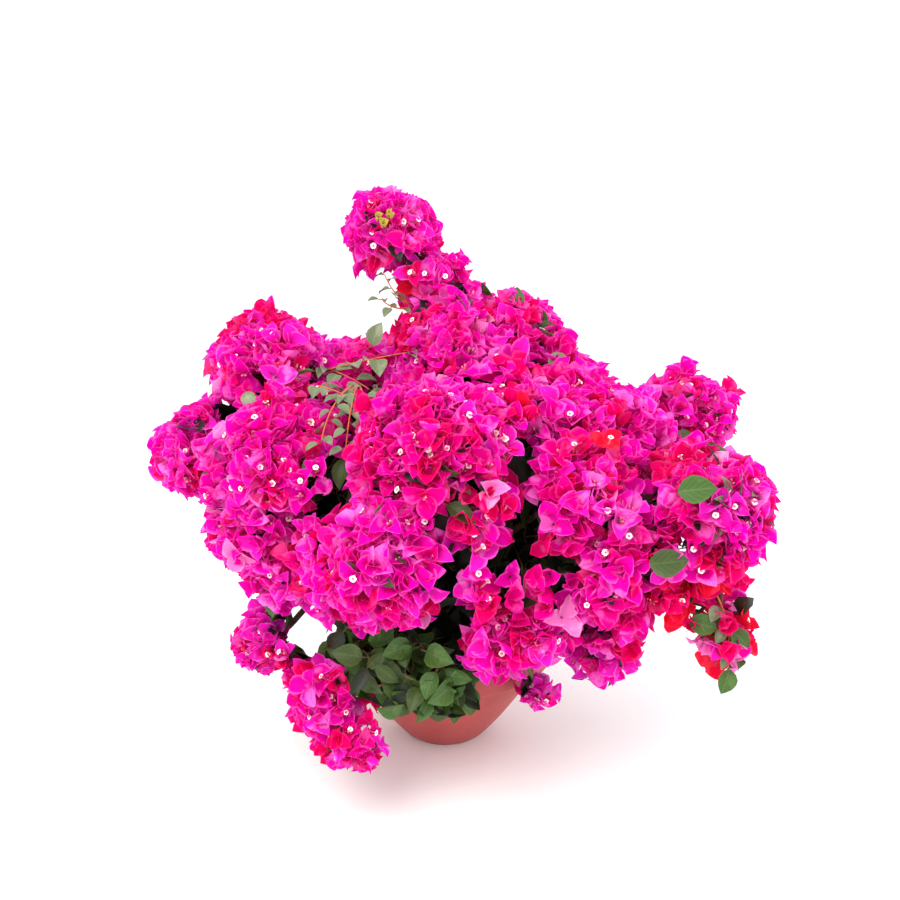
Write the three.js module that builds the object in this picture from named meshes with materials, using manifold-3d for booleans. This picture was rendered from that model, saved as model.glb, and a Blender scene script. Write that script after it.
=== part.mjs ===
// A bougainvillea bush in full bloom in a bowl-shaped plastic pot, in millimetres, +Z up.
// The origin is the centre of the pot's flat underside, and the bush's front looks towards -Y.
import * as THREE from "three";
import { mergeVertices } from "three/addons/utils/BufferGeometryUtils.js";
import Module from "manifold-3d";

const wasm = await Module();
wasm.setup();

// Driving sizes.
const gap = 0.3; // left between solids that meet
const pot = { foot: 52, wallTop: 130, rim: 142, bandFoot: 110, height: 136, wall: 3.6, sides: 36, steps: 5 };
const soil = { rim: 118, crown: 126, flat: 32 };
const trunk = { flare: 22, waist: 14.5, top: 12, flareShare: 0.25, leanX: 6, leanY: -8, height: 84 };
const caneRoot = 6.2; // a main bough's radius where it leaves the trunk
const sideRoot = 4.6; // a side bough's radius where it leaves its parent
const boughTip = 3.4;
const stemTip = 2;
const twig = { perBall: 9, root: 2.6, tip: 2.1, reach: 0.5 }; // reach is a share of the ball's radius
const coreShares = [0.5, 0.51, 0.49, 0.52, 0.48, 0.53]; // a core's radius, as a share of its ball's, by trial
const finest = 0.012; // no face is narrower
const roundings = [1e-3, 1e-4]; // vertices this close together count as one
// What a twig bears: three bracts that stand round its flower, or three leaves. Their length is a share of
// their ball's radius, they open at an angle in degrees from the twig, and notch is how far out they part.
const bracts = { corners: 3, length: 0.55, opening: 56, sunk: 5 };
const leaves = { corners: 6, length: 0.55, opening: 58, sunk: 3, notch: 0.26 };
const goldenAngle = Math.PI * (3 - Math.sqrt(5));

// The masses of foliage. A ball that a mass fills is [azimuth from +X, reach from the trunk, height, radius],
// and a mass's balls follow its stem outwards. from is the bough that its own bough leaves, and at is how far
// along that is. leafy is the share of its twigs that bear leaves in place of bracts.
const masses = {
  top: { from: "trunk", at: 0.97, balls: [[-73, 34, 484, 74], [180, 8, 571, 42], [180, 60, 644, 54]] },
  top_right: { from: "top", at: 0.7, balls: [[12, 99, 497, 68]] },
  left_top: { from: "trunk", at: 0.9, balls: [[-175, 207, 486, 63]] },
  notch: { from: "left_top", at: 0.5, leafy: 0.6, balls: [[159, 112, 441, 72]] },
  left_far: { from: "left_top", at: 0.6, balls: [[-169, 303, 385, 62]] },
  left_face: { from: "trunk", at: 0.78, balls: [[-146, 216, 382, 74], [-147, 243, 312, 62]] },
  centre_high: { from: "trunk", at: 0.84, balls: [[-96, 181, 416, 78], [-81, 202, 350, 46]] },
  bridge: { from: "centre_high", at: 0.55, balls: [[-55, 146, 423, 66]] },
  centre_low: { from: "trunk", at: 0.62, balls: [[-106, 229, 309, 70], [-132, 202, 271, 48]] },
  right_high: { from: "trunk", at: 0.92, balls: [[-24, 197, 417, 76], [0, 297, 418, 68]] },
  right_mid: { from: "trunk", at: 0.7, balls: [[-52, 230, 357, 61], [-48, 279, 299, 59]] },
  right_skirt: { from: "right_mid", at: 0.5, balls: [[-40, 234, 193, 50]] },
  right_far: { from: "right_high", at: 0.6, leafy: 0.3, balls: [[-40, 353, 369, 68], [-34, 352, 220, 46]] },
  front_drop: { from: "centre_low", at: 0.45, balls: [[-71, 211, 243, 51], [-50, 166, 119, 23]] },
  left_ball: { from: "left_face", at: 0.35, balls: [[-150, 240, 176, 45]] },
  trail: { from: "centre_low", at: 0.3, leafy: 0.2, balls: [[-128, 218, 132, 46], [-115, 233, 90, 30]] },
  rim_leaves: { from: "trunk", at: 0.5, leafy: 1, balls: [[-120, 186, 182, 42], [-97, 184, 148, 40]] },
  back_left: {
    from: "trunk",
    at: 0.8,
    balls: [[137, 215, 405, 88], [165, 228, 300, 76], [146, 222, 212, 52]],
  },
  back: { from: "trunk", at: 0.88, balls: [[92, 182, 440, 90], [95, 240, 322, 82], [88, 222, 214, 56]] },
  back_right: {
    from: "trunk",
    at: 0.74,
    balls: [[42, 226, 400, 88], [12, 240, 302, 76], [30, 226, 210, 54]],
  },
};
const usualLeafy = 0.12;

const up = new THREE.Vector3(0, 0, 1);

// Materials.
function finish(color, roughness) {
  return new THREE.MeshStandardMaterial({ color, roughness, metalness: 0 });
}
const potPlastic = finish(0xb9534f, 0.55);
const pottingSoil = finish(0x3a2a20, 0.95);
const bark = finish(0x6e5a48, 0.85);
const magentaBracts = finish(0xf0108c, 0.6);
const greenLeaves = finish(0x4c6b3c, 0.6);

// Solids and geometries.
function solidOf(geometry) {
  const bare = geometry.clone();
  bare.deleteAttribute("normal");
  bare.deleteAttribute("uv");
  const merged = mergeVertices(bare, roundings[0]);
  return new wasm.Manifold(
    new wasm.Mesh({
      numProp: 3,
      vertProperties: merged.attributes.position.array,
      triVerts: new Uint32Array(merged.index.array),
    }),
  );
}

function geometryOf(solid) {
  const mesh = solid.getMesh();
  const geometry = new THREE.BufferGeometry();
  geometry.setAttribute("position", new THREE.BufferAttribute(new Float32Array(mesh.vertProperties), 3));
  geometry.setIndex(new THREE.BufferAttribute(new Uint32Array(mesh.triVerts), 1));
  geometry.computeVertexNormals();
  return geometry;
}

// A solid made again from its own mesh, as it will be when it is read back.
function remade(solid) {
  return solidOf(geometryOf(solid));
}

// The largest piece of a solid, without the scraps that a cut leaves and the hollows that a join seals.
function largestPiece(solid) {
  let pieces = solid.decompose();
  while (pieces.length > 1) {
    pieces = remade(pieces.reduce((a, b) => (a.volume() >= b.volume() ? a : b))).decompose();
  }
  return remade(pieces[0]);
}

// Whether a solid is one closed surface with no sliver of a face, and stays closed however it is rounded off.
function isClean(solid) {
  const copy = remade(solid);
  const pieces = solid.decompose().length + copy.decompose().length;
  return pieces === 2 && roundings.every((rounding) => closes(solid, rounding) && closes(copy, rounding));
}

function closes(solid, rounding) {
  const bare = geometryOf(solid);
  bare.deleteAttribute("normal");
  const merged = mergeVertices(bare, rounding);
  const index = merged.index.array;
  const edges = new Set();
  const face = new THREE.Triangle();
  for (let i = 0; i < index.length; i += 3) {
    const [a, b, c] = index.subarray(i, i + 3);
    face.setFromAttributeAndIndices(merged.attributes.position, a, b, c);
    const [ab, bc, ca] = [face.a.distanceTo(face.b), face.b.distanceTo(face.c), face.c.distanceTo(face.a)];
    const longest = Math.max(ab, bc, ca);
    if ((2 * face.getArea()) / longest < finest) return false;
    for (const edge of [a + "-" + b, b + "-" + c, c + "-" + a]) {
      if (edges.has(edge)) return false;
      edges.add(edge);
    }
  }
  return true;
}

// A seeded generator of numbers from 0 to 1, so that every build grows the same bush.
function seeded(seed) {
  let state = seed;
  return () => {
    state = (state * 16807) % 2147483647;
    return state / 2147483647;
  };
}

// A body turned about Z from points of [radius, height], which start and end on the axis.
function turned(points, sides) {
  const profile = points.map(([radius, height]) => new THREE.Vector2(radius, height));
  return new THREE.LatheGeometry(profile, sides).rotateX(Math.PI / 2);
}

// A tapering limb along a curve, with flat ends.
function limb(curve, radiusAt, sides, steps) {
  const geometry = new THREE.CylinderGeometry(1, 1, 1, sides, steps);
  const frames = curve.computeFrenetFrames(steps, false);
  const corners = geometry.attributes.position;
  for (let i = 0; i < corners.count; i++) {
    const step = Math.round((corners.getY(i) + 0.5) * steps);
    const radius = radiusAt(step / steps);
    const corner = curve
      .getPointAt(step / steps)
      .addScaledVector(frames.normals[step], corners.getX(i) * radius)
      .addScaledVector(frames.binormals[step], -corners.getZ(i) * radius);
    corners.setXYZ(i, corner.x, corner.y, corner.z);
  }
  return geometry;
}

const taper = (root, tip) => (along) => root + (tip - root) * along;

// The pot: a thin bowl on a flat foot, with a band round its rim.
function potWall(inset, steps) {
  const foot = new THREE.Vector2(pot.foot - inset, inset);
  const belly = new THREE.Vector2(pot.foot + 30 - inset, 30 + inset * 0.4);
  const top = new THREE.Vector2(pot.wallTop - inset, pot.bandFoot);
  return new THREE.QuadraticBezierCurve(foot, belly, top).getPoints(steps).map((p) => [p.x, p.y]);
}

function makePot() {
  const edge = 3;
  const band = [
    [pot.rim - edge, pot.bandFoot + 1],
    [pot.rim, pot.height - edge],
    [pot.rim - edge, pot.height],
    [pot.wallTop + 1, pot.height],
  ];
  const inside = potWall(pot.wall, pot.steps - 1).reverse();
  return turned([[0, 0], ...potWall(0, pot.steps), ...band, ...inside, [0, pot.wall]], pot.sides);
}

function makeSoil() {
  const inset = pot.wall + 2 * gap;
  const side = potWall(inset, pot.steps - 2);
  const rise = soil.rim - pot.bandFoot;
  const top = [
    [pot.wallTop - inset + rise * 0.1, soil.rim],
    [soil.flat * 2, soil.crown - 2],
    [soil.flat, soil.crown],
    [0, soil.crown],
  ];
  return turned([[0, inset], ...side, ...top], pot.sides);
}

// The trunk: a short, leaning stem that flares where it meets the soil.
const trunkCurve = new THREE.QuadraticBezierCurve3(
  new THREE.Vector3(0, 0, soil.crown + gap),
  new THREE.Vector3(0, 0, soil.crown + trunk.height * 0.45),
  new THREE.Vector3(trunk.leanX, trunk.leanY, soil.crown + trunk.height),
);
function trunkRadius(along) {
  const flared = trunk.flareShare;
  if (along < flared) return taper(trunk.flare, trunk.waist)(along / flared);
  return taper(trunk.waist, trunk.top)((along - flared) / (1 - flared));
}
const makeTrunk = (extra) => limb(trunkCurve, (along) => trunkRadius(along) + extra, 12, 8);

// Space. A ball's space is its part of the power diagram of all balls, inside the ball.
function ballAt([azimuth, reach, height, radius], mass) {
  const turn = THREE.MathUtils.degToRad(azimuth);
  const centre = new THREE.Vector3(reach * Math.cos(turn), reach * Math.sin(turn), height);
  return { centre, radius, mass };
}
for (const [name, mass] of Object.entries(masses)) {
  mass.name = name;
  mass.balls = mass.balls.map((ball) => ballAt(ball, mass));
}
const allBalls = Object.values(masses).flatMap((mass) => mass.balls);

// How far a point lies inside a ball's space, where balls of one mass run a little into each other.
function depthInside(ball, point) {
  const own = point.distanceToSquared(ball.centre) - ball.radius ** 2;
  let depth = ball.radius - point.distanceTo(ball.centre);
  for (const other of allBalls) {
    if (other === ball) continue;
    const apart = other.centre.distanceTo(ball.centre);
    const power = point.distanceToSquared(other.centre) - other.radius ** 2;
    const shared = other.mass === ball.mass ? 4 : 0;
    depth = Math.min(depth, (power - own) / (2 * apart) + shared);
  }
  return depth - gap;
}

const hubHeight = 280; // boughs enter their masses from the side of this point above the trunk
// Boughs. Each leaves the trunk or another bough and ends where it enters the first ball of its mass.
function boughCurve(mass) {
  const parent = mass.from === "trunk" ? trunkCurve : masses[mass.from].curve;
  const start = parent.getPointAt(mass.at);
  const ball = mass.balls[0];
  const hub = new THREE.Vector3(0, 0, hubHeight);
  const inward = hub.sub(ball.centre).normalize();
  let entry = 0.85 * ball.radius;
  while (depthInside(ball, ball.centre.clone().addScaledVector(inward, entry)) < 6) entry -= 2;
  const end = ball.centre.clone().addScaledVector(inward, entry);
  const span = end.distanceTo(start);
  const lift = end.z - start.z > 120 ? 0.1 : 0.3;
  const bend = start.clone().lerp(end, 0.45).addScaledVector(up, lift * span);
  return new THREE.QuadraticBezierCurve3(start, bend, end);
}

const boughs = { trunk: solidOf(makeTrunk(0)) };
let limbs = solidOf(makeTrunk(gap)); // the trunk and all boughs, each a gap thicker
for (const mass of Object.values(masses)) {
  mass.curve = boughCurve(mass);
  const root = mass.from === "trunk" ? caneRoot : sideRoot;
  const shape = (extra) => solidOf(limb(mass.curve, taper(root + extra, boughTip + extra), 6, 6));
  boughs["bough_" + mass.name] = largestPiece(shape(0).subtract(limbs));
  limbs = limbs.add(shape(gap));
}
const potSolid = solidOf(makePot());
const soilSolid = solidOf(makeSoil());
const obstacles = limbs.add(potSolid).add(soilSolid);

// A twig from its root to its tip, where it opens into three bracts or leaves: one tube of three rings. The
// last ring's corners are drawn out to tips and the notches between them, and the middle of its end is sunk.
function sprig(root, tip, axis, kind, size, turn) {
  const geometry = new THREE.CylinderGeometry(1, 1, 1, kind.corners, 2);
  const step = (2 * Math.PI) / kind.corners;
  const opening = THREE.MathUtils.degToRad(kind.opening);
  const rings = [
    { centre: root, along: tip.clone().sub(root).normalize(), radius: twig.root },
    { centre: tip, along: axis, radius: twig.tip },
    { centre: tip, along: axis, mouth: kind.length * size },
  ];
  const corners = geometry.attributes.position;
  for (let i = 0; i < corners.count; i++) {
    const ring = rings[Math.round(2 * corners.getY(i) + 1)];
    const corner = ring.centre.clone();
    const out = Math.hypot(corners.getX(i), corners.getZ(i));
    if (out < 0.5) {
      corner.addScaledVector(ring.along, ring.mouth ? kind.sunk : 0);
    } else {
      const spoke = Math.round(Math.atan2(corners.getX(i), corners.getZ(i)) / step);
      const isNotch = kind.notch && spoke % 2;
      const reach = ring.mouth ? ring.mouth * (isNotch ? kind.notch : 1) : 0;
      const radius = ring.mouth ? twig.tip + reach * Math.sin(opening) : ring.radius;
      const side = new THREE.Vector3().crossVectors(ring.along, helperFor(ring.along)).normalize();
      side.applyAxisAngle(ring.along, turn + spoke * step);
      corner.addScaledVector(ring.along, reach * Math.cos(opening));
      corner.addScaledVector(side, radius);
    }
    corners.setXYZ(i, corner.x, corner.y, corner.z);
  }
  return geometry;
}

// A direction well away from the given one.
function helperFor(direction) {
  return Math.abs(direction.z) < 0.8 ? up : new THREE.Vector3(1, 0, 0);
}

// The point of a stem from which a twig leaves for a tip at an acute angle.
function rootOnStem(stem, tip) {
  const cost = (along) => {
    const towards = tip.clone().sub(stem.getPoint(along));
    return towards.length() - 0.6 * towards.dot(stem.getTangent(along));
  };
  const places = Array.from({ length: 15 }, (_, i) => 0.08 + (0.87 * i) / 14);
  return places.reduce((best, along) => (cost(along) < cost(best) ? along : best));
}

// A core: a ball of few faces, drawn in where it would leave its space.
function makeCore(ball, share) {
  const geometry = new THREE.IcosahedronGeometry(1, 0);
  const corners = geometry.attributes.position;
  for (let i = 0; i < corners.count; i++) {
    const direction = new THREE.Vector3().fromBufferAttribute(corners, i).normalize();
    let radius = share * ball.radius;
    while (depthInside(ball, ball.centre.clone().addScaledVector(direction, radius)) < gap) radius -= 1;
    const corner = ball.centre.clone().addScaledVector(direction, radius);
    corners.setXYZ(i, corner.x, corner.y, corner.z);
  }
  return geometry;
}

function stemCurve(mass) {
  const end = mass.curve.getPointAt(1);
  const heading = mass.curve.getTangentAt(1);
  const last = mass.balls.at(-1);
  const centres = mass.balls.map((ball) => ball.centre);
  const before = mass.balls.length > 1 ? mass.balls.at(-2).centre : end;
  const outward = last.centre.clone().sub(before).normalize();
  return new THREE.CatmullRomCurve3([
    end.clone().addScaledVector(heading, gap),
    end.clone().addScaledVector(heading, 6),
    ...centres,
    last.centre.clone().addScaledVector(outward, 0.4 * last.radius),
  ]);
}

// A solid with the first of some shapes fused to it that leaves it clean, or as it was where none does.
function fuse(solid, shapes) {
  for (const shape of shapes) {
    const grown = largestPiece(solid.add(solidOf(shape)).subtract(limbs));
    if (isClean(grown)) return grown;
  }
  return solid;
}

// A mass: a stem, its cores, and twigs whose tips are spread evenly over each ball by the golden angle.
function growMass(mass, seed) {
  const random = seeded(seed);
  const stem = stemCurve(mass);
  let solid = solidOf(limb(stem, taper(boughTip, stemTip), 5, 4 * mass.balls.length));
  for (const ball of mass.balls) {
    solid = fuse(solid, coreShares.map((share) => makeCore(ball, share)));
  }
  for (const ball of mass.balls) {
    for (let k = 0; k < twig.perBall; k++) {
      const height = 1 - (2 * (k + 0.5)) / twig.perBall;
      const ring = Math.sqrt(1 - height * height);
      const azimuth = k * goldenAngle + random() * 0.5;
      const out = new THREE.Vector3(ring * Math.cos(azimuth), ring * Math.sin(azimuth), height);
      const kind = random() < (mass.leafy ?? usualLeafy) ? leaves : bracts;
      const tip = ball.centre.clone().addScaledVector(out, ball.radius * twig.reach);
      const root = stem.getPoint(rootOnStem(stem, tip));
      const turns = Array.from({ length: 6 }, () => random() * 2 * Math.PI);
      const shoots = turns.map((turn) => sprig(root, tip, out, kind, ball.radius, turn));
      solid = fuse(solid, shoots.filter((shoot) => fits(shoot, ball)));
    }
  }
  return solid;
}

// Whether a sprig keeps to its ball's space and clear of every limb and the pot.
function fits(geometry, ball) {
  const corners = geometry.attributes.position;
  for (let i = 0; i < corners.count; i++) {
    if (depthInside(ball, new THREE.Vector3().fromBufferAttribute(corners, i)) < 0) return false;
  }
  return solidOf(geometry).intersect(obstacles).isEmpty();
}

// Assembly.
const bush = new THREE.Group();
function addNode(name, solid, material) {
  const mesh = new THREE.Mesh(geometryOf(solid), material);
  mesh.name = name;
  bush.add(mesh);
}
addNode("pot", potSolid, potPlastic);
addNode("soil", soilSolid, pottingSoil);
for (const [name, solid] of Object.entries(boughs)) addNode(name, solid, bark);
Object.values(masses).forEach((mass, index) => {
  const material = mass.leafy === 1 ? greenLeaves : magentaBracts;
  addNode("mass_" + mass.name, growMass(mass, 100 + 37 * index), material);
});

export default bush;
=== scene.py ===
import math

import bmesh
import bpy
import numpy as np
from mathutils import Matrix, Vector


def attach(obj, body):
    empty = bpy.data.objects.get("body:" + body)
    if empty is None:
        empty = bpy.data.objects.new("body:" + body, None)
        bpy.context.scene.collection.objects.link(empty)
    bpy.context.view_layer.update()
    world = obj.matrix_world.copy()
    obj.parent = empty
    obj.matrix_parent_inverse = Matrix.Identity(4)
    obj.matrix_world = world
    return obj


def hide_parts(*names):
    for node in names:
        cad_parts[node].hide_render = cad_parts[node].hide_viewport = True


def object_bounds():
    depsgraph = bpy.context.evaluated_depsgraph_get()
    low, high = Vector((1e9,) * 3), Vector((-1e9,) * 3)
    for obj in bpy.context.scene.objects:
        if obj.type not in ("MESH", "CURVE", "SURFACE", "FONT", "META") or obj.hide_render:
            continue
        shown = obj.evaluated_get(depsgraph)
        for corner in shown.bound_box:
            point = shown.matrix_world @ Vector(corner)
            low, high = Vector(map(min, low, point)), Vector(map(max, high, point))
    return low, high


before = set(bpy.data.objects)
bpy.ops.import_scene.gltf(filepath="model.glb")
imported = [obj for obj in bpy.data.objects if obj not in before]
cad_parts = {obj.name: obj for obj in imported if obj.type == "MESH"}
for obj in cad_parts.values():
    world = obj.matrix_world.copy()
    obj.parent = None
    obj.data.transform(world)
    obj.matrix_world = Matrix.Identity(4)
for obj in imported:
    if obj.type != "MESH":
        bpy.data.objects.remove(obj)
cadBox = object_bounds()
mm = 0.001
goldenAngle = math.pi * (3 - math.sqrt(5))
up = np.array([0.0, 0.0, 1.0])
rng = np.random.default_rng(41)

# Camera, lights and floor.
cameraSet = {"place": (0.00667, -1.08706, 0.62591), "pitchDown": 13, "lens": 36, "sensor": 36}
lightSet = {
    "sky": "#ffffff",
    "skyStrength": 1.2,
    "lamps": [  # place, size in metres, watts, colour
        ((-1.3, -2.1, 2.9), 2.2, 104, "#fffaf3"),
        ((2.4, -1.5, 1.5), 2.6, 26, "#f4f7ff"),
        ((0.5, 2.6, 2.4), 2.4, 30, "#ffffff"),
    ],
    "aim": (0, 0, 0.35),
}
floorSet = {"side": 12.0, "colour": "#f6f6f5", "roughness": 0.9}


def linear(hexColour):
    channels = [int(hexColour[i:i + 2], 16) / 255 for i in (1, 3, 5)]
    return tuple(c / 12.92 if c <= 0.04045 else ((c + 0.055) / 1.055) ** 2.4 for c in channels) + (1.0,)


def addNode(tree, kind, settings=None, links=None):
    node = tree.nodes.new("ShaderNode" + kind)
    for name, value in (settings or {}).items():
        if name == "stops":  # a colour ramp's places and colours
            while len(node.color_ramp.elements) < len(value):
                node.color_ramp.elements.new(1)
            for element, (place, colour) in zip(node.color_ramp.elements, value):
                element.position = place
                element.color = linear(colour)
        elif isinstance(name, int) or name in node.inputs:
            node.inputs[name].default_value = value
        else:
            setattr(node, name, value)
    for name, source in (links or {}).items():  # a node stands for its first output
        socket = source if isinstance(source, bpy.types.NodeSocket) else source.outputs[0]
        tree.links.new(socket, node.inputs[name])
    return node


def newMaterial(name):
    material = bpy.data.materials.new(name)
    material.use_nodes = True
    material.node_tree.nodes.clear()
    return material, material.node_tree


def addCamera():
    tilt = math.radians(90 - cameraSet["pitchDown"])
    bpy.ops.object.camera_add(location=cameraSet["place"], rotation=(tilt, 0, 0))
    camera = bpy.context.object
    camera.data.sensor_width = cameraSet["sensor"]
    camera.data.lens = cameraSet["lens"]
    bpy.context.scene.camera = camera


def addLights():
    world = bpy.data.worlds.new("soft sky")
    world.use_nodes = True
    background = world.node_tree.nodes["Background"]
    background.inputs["Color"].default_value = linear(lightSet["sky"])
    background.inputs["Strength"].default_value = lightSet["skyStrength"]
    bpy.context.scene.world = world
    for place, size, watts, colour in lightSet["lamps"]:
        bpy.ops.object.light_add(type="AREA", location=place)
        lamp = bpy.context.object
        x, y, z = np.array(lightSet["aim"]) - np.array(place)
        lamp.rotation_euler = (math.atan2(math.hypot(x, y), -z), 0, math.atan2(y, x) - math.pi / 2)
        lamp.data.size = size
        lamp.data.energy = watts
        lamp.data.color = linear(colour)[:3]


def addFloor():
    bpy.ops.mesh.primitive_plane_add(size=floorSet["side"])
    floor = bpy.context.object
    floor.name = "floor"
    material, tree = newMaterial("matt white studio paper")
    finish = {"Base Color": linear(floorSet["colour"]), "Roughness": floorSet["roughness"]}
    shader = addNode(tree, "BsdfPrincipled", finish)
    addNode(tree, "OutputMaterial", links={"Surface": shader})
    floor.data.materials.append(material)


addCamera()
addLights()
addFloor()
bpy.context.scene.view_settings.view_transform = "Standard"  # keeps the bracts' saturated hue
print("camera, lights and floor set")

# The frame's masses of foliage. A ball that a mass fills is its azimuth from +X, reach, height and radius,
# in degrees and mm.
masses = {
    "top": {"from": "trunk", "at": 0.97,
            "balls": [(-73, 34, 484, 74), (180, 8, 571, 42), (180, 60, 644, 54)]},
    "top_right": {"from": "top", "at": 0.7, "balls": [(12, 99, 497, 68)]},
    "left_top": {"from": "trunk", "at": 0.9, "balls": [(-175, 207, 486, 63)]},
    "notch": {"from": "left_top", "at": 0.5, "leafy": 0.6, "balls": [(159, 112, 441, 72)]},
    "left_far": {"from": "left_top", "at": 0.6, "balls": [(-169, 303, 385, 62)]},
    "left_face": {"from": "trunk", "at": 0.78, "balls": [(-146, 216, 382, 74), (-147, 243, 312, 62)]},
    "centre_high": {"from": "trunk", "at": 0.84, "balls": [(-96, 181, 416, 78), (-81, 202, 350, 46)]},
    "bridge": {"from": "centre_high", "at": 0.55, "balls": [(-55, 146, 423, 66)]},
    "centre_low": {"from": "trunk", "at": 0.62, "balls": [(-106, 229, 309, 70), (-132, 202, 271, 48)]},
    "right_high": {"from": "trunk", "at": 0.92, "balls": [(-24, 197, 417, 76), (0, 297, 418, 68)]},
    "right_mid": {"from": "trunk", "at": 0.7, "balls": [(-52, 230, 357, 61), (-48, 279, 299, 59)]},
    "right_skirt": {"from": "right_mid", "at": 0.5, "balls": [(-40, 234, 193, 50)]},
    "right_far": {"from": "right_high", "at": 0.6, "leafy": 0.3,
                  "balls": [(-40, 353, 369, 68), (-34, 352, 220, 46)]},
    "front_drop": {"from": "centre_low", "at": 0.45, "balls": [(-71, 211, 243, 51), (-50, 166, 119, 23)]},
    "left_ball": {"from": "left_face", "at": 0.35, "balls": [(-150, 240, 176, 45)]},
    "trail": {"from": "centre_low", "at": 0.3, "leafy": 0.2,
              "balls": [(-128, 218, 132, 46), (-115, 233, 90, 30)]},
    "rim_leaves": {"from": "trunk", "at": 0.5, "leafy": 1,
                   "balls": [(-120, 186, 182, 42), (-97, 184, 148, 40)]},
    "back_left": {"from": "trunk", "at": 0.8,
                  "balls": [(137, 215, 405, 88), (165, 228, 300, 76), (146, 222, 212, 52)]},
    "back": {"from": "trunk", "at": 0.88,
             "balls": [(92, 182, 440, 90), (95, 240, 322, 82), (88, 222, 214, 56)]},
    "back_right": {"from": "trunk", "at": 0.74,
                   "balls": [(42, 226, 400, 88), (12, 240, 302, 76), (30, 226, 210, 54)]},
}
limbSet = {
    "usualLeafy": 0.12, "hubHeight": 280 * mm,
    "trunkFoot": 126.3 * mm, "trunkHeight": 83.7 * mm, "trunkBend": 0.45, "trunkLean": (6 * mm, -8 * mm),
    "flare": 22 * mm, "waist": 14.5 * mm, "trunkTop": 12 * mm, "flareShare": 0.25,
    "caneRoot": 6.2 * mm, "sideRoot": 4.6 * mm, "boughTip": 3.4 * mm, "stemTip": 1.8 * mm,
    "entry": 0.85, "entryDepth": 6 * mm, "entryStep": 2 * mm,  # where a bough meets its mass's first ball
    "bendShare": 0.45, "steepRise": 120 * mm, "steepLift": 0.1, "flatLift": 0.3, "tipReach": 0.4,
}
massNodes = ["mass_" + name for name in masses]
boughNodes = ["bough_" + name for name in masses]


def unit(v):
    v = np.asarray(v, float)
    return v / np.maximum(np.linalg.norm(v, axis=-1, keepdims=True), 1e-12)


def seeded(seed):
    state = [seed]

    def draw():
        state[0] = state[0] * 16807 % 2147483647
        return state[0] / 2147483647
    return draw


def polar(azimuth, reach, height):
    turn = math.radians(azimuth)
    return np.array([reach * math.cos(turn), reach * math.sin(turn), height]) * mm


def quadratic(start, bend, end, count=200):
    t = np.linspace(0, 1, count + 1)[:, None]
    return (1 - t) ** 2 * start + 2 * t * (1 - t) * bend + t ** 2 * end


def throughPoints(points, count=200):  # a centripetal spline, as the frame's stems follow
    points = [np.asarray(p, float) for p in points]
    padded = [2 * points[0] - points[1]] + points + [2 * points[-1] - points[-2]]
    made = []
    for place in np.linspace(0, len(points) - 1, count + 1):
        k = min(int(place), len(points) - 2)
        a, b, c, d = padded[k:k + 4]
        ab, bc, cd = (max(np.linalg.norm(q - p), 1e-9) ** 0.5 for p, q in ((a, b), (b, c), (c, d)))
        leaving = ((b - a) / ab - (c - a) / (ab + bc) + (c - b) / bc) * bc
        arriving = ((c - b) / bc - (d - b) / (bc + cd) + (d - c) / cd) * bc
        w = place - k
        curved = (3 * (c - b) - 2 * leaving - arriving) * w ** 2 + (2 * (b - c) + leaving + arriving) * w ** 3
        made.append(b + leaving * w + curved)
    return np.array(made)


def alongCurve(curve, shares):  # points at shares of a curve's length
    lengths = np.concatenate([[0], np.cumsum(np.linalg.norm(np.diff(curve, axis=0), axis=1))])
    wanted = np.asarray(shares) * lengths[-1]
    return np.stack([np.interp(wanted, lengths, curve[:, k]) for k in range(3)], axis=-1)


def trunkRadius(share):
    flared = limbSet["flareShare"]
    places = [0, flared * 0.35, flared, 1]
    middle = limbSet["waist"] + 0.45 * (limbSet["flare"] - limbSet["waist"])
    return np.interp(share, places, [limbSet["flare"], middle, limbSet["waist"], limbSet["trunkTop"]])


for mass in masses.values():
    mass["leafy"] = mass.get("leafy", limbSet["usualLeafy"])
    mass["balls"] = [(polar(*ball[:3]), ball[3] * mm) for ball in mass["balls"]]
ballCentres = np.array([centre for mass in masses.values() for centre, radius in mass["balls"]])
ballRadii = np.array([radius for mass in masses.values() for centre, radius in mass["balls"]])
ballOwners = np.array([i for i, mass in enumerate(masses.values()) for ball in mass["balls"]])


def depthInside(own, points, shared=4 * mm):  # how far points lie inside a ball's own space
    points = np.atleast_2d(points)
    depth = ballRadii[own] - np.linalg.norm(points - ballCentres[own], axis=1)
    ownPower = ((points - ballCentres[own]) ** 2).sum(1) - ballRadii[own] ** 2
    for other in range(len(ballRadii)):
        if other != own:
            apart = np.linalg.norm(ballCentres[other] - ballCentres[own])
            power = ((points - ballCentres[other]) ** 2).sum(1) - ballRadii[other] ** 2
            extra = shared if ballOwners[other] == ballOwners[own] else 0
            depth = np.minimum(depth, (power - ownPower) / (2 * apart) + extra)
    return depth


def cellDepth(own, points):  # how far points lie on a ball's own side of the planes between it and the others
    ownPower = ((points - ballCentres[own]) ** 2).sum(-1) - ballRadii[own] ** 2
    power = ((points[..., None, :] - ballCentres) ** 2).sum(-1) - ballRadii ** 2 - ownPower[..., None]
    apart = np.linalg.norm(ballCentres - ballCentres[own], axis=1)
    apart[own] = np.inf
    power[..., own] = np.inf
    return (power / (2 * np.where(np.isinf(apart), 1, apart))).min(-1)


canopySet = {
    "blend": 30 * mm, "inset": 11 * mm, "lump": 7 * mm, "lumpSize": 62 * mm,
    "nearest": 0.4, "furthest": 60 * mm, "steps": 40, "dealtOut": 8 * mm,  # how its surface is looked for
}
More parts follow.
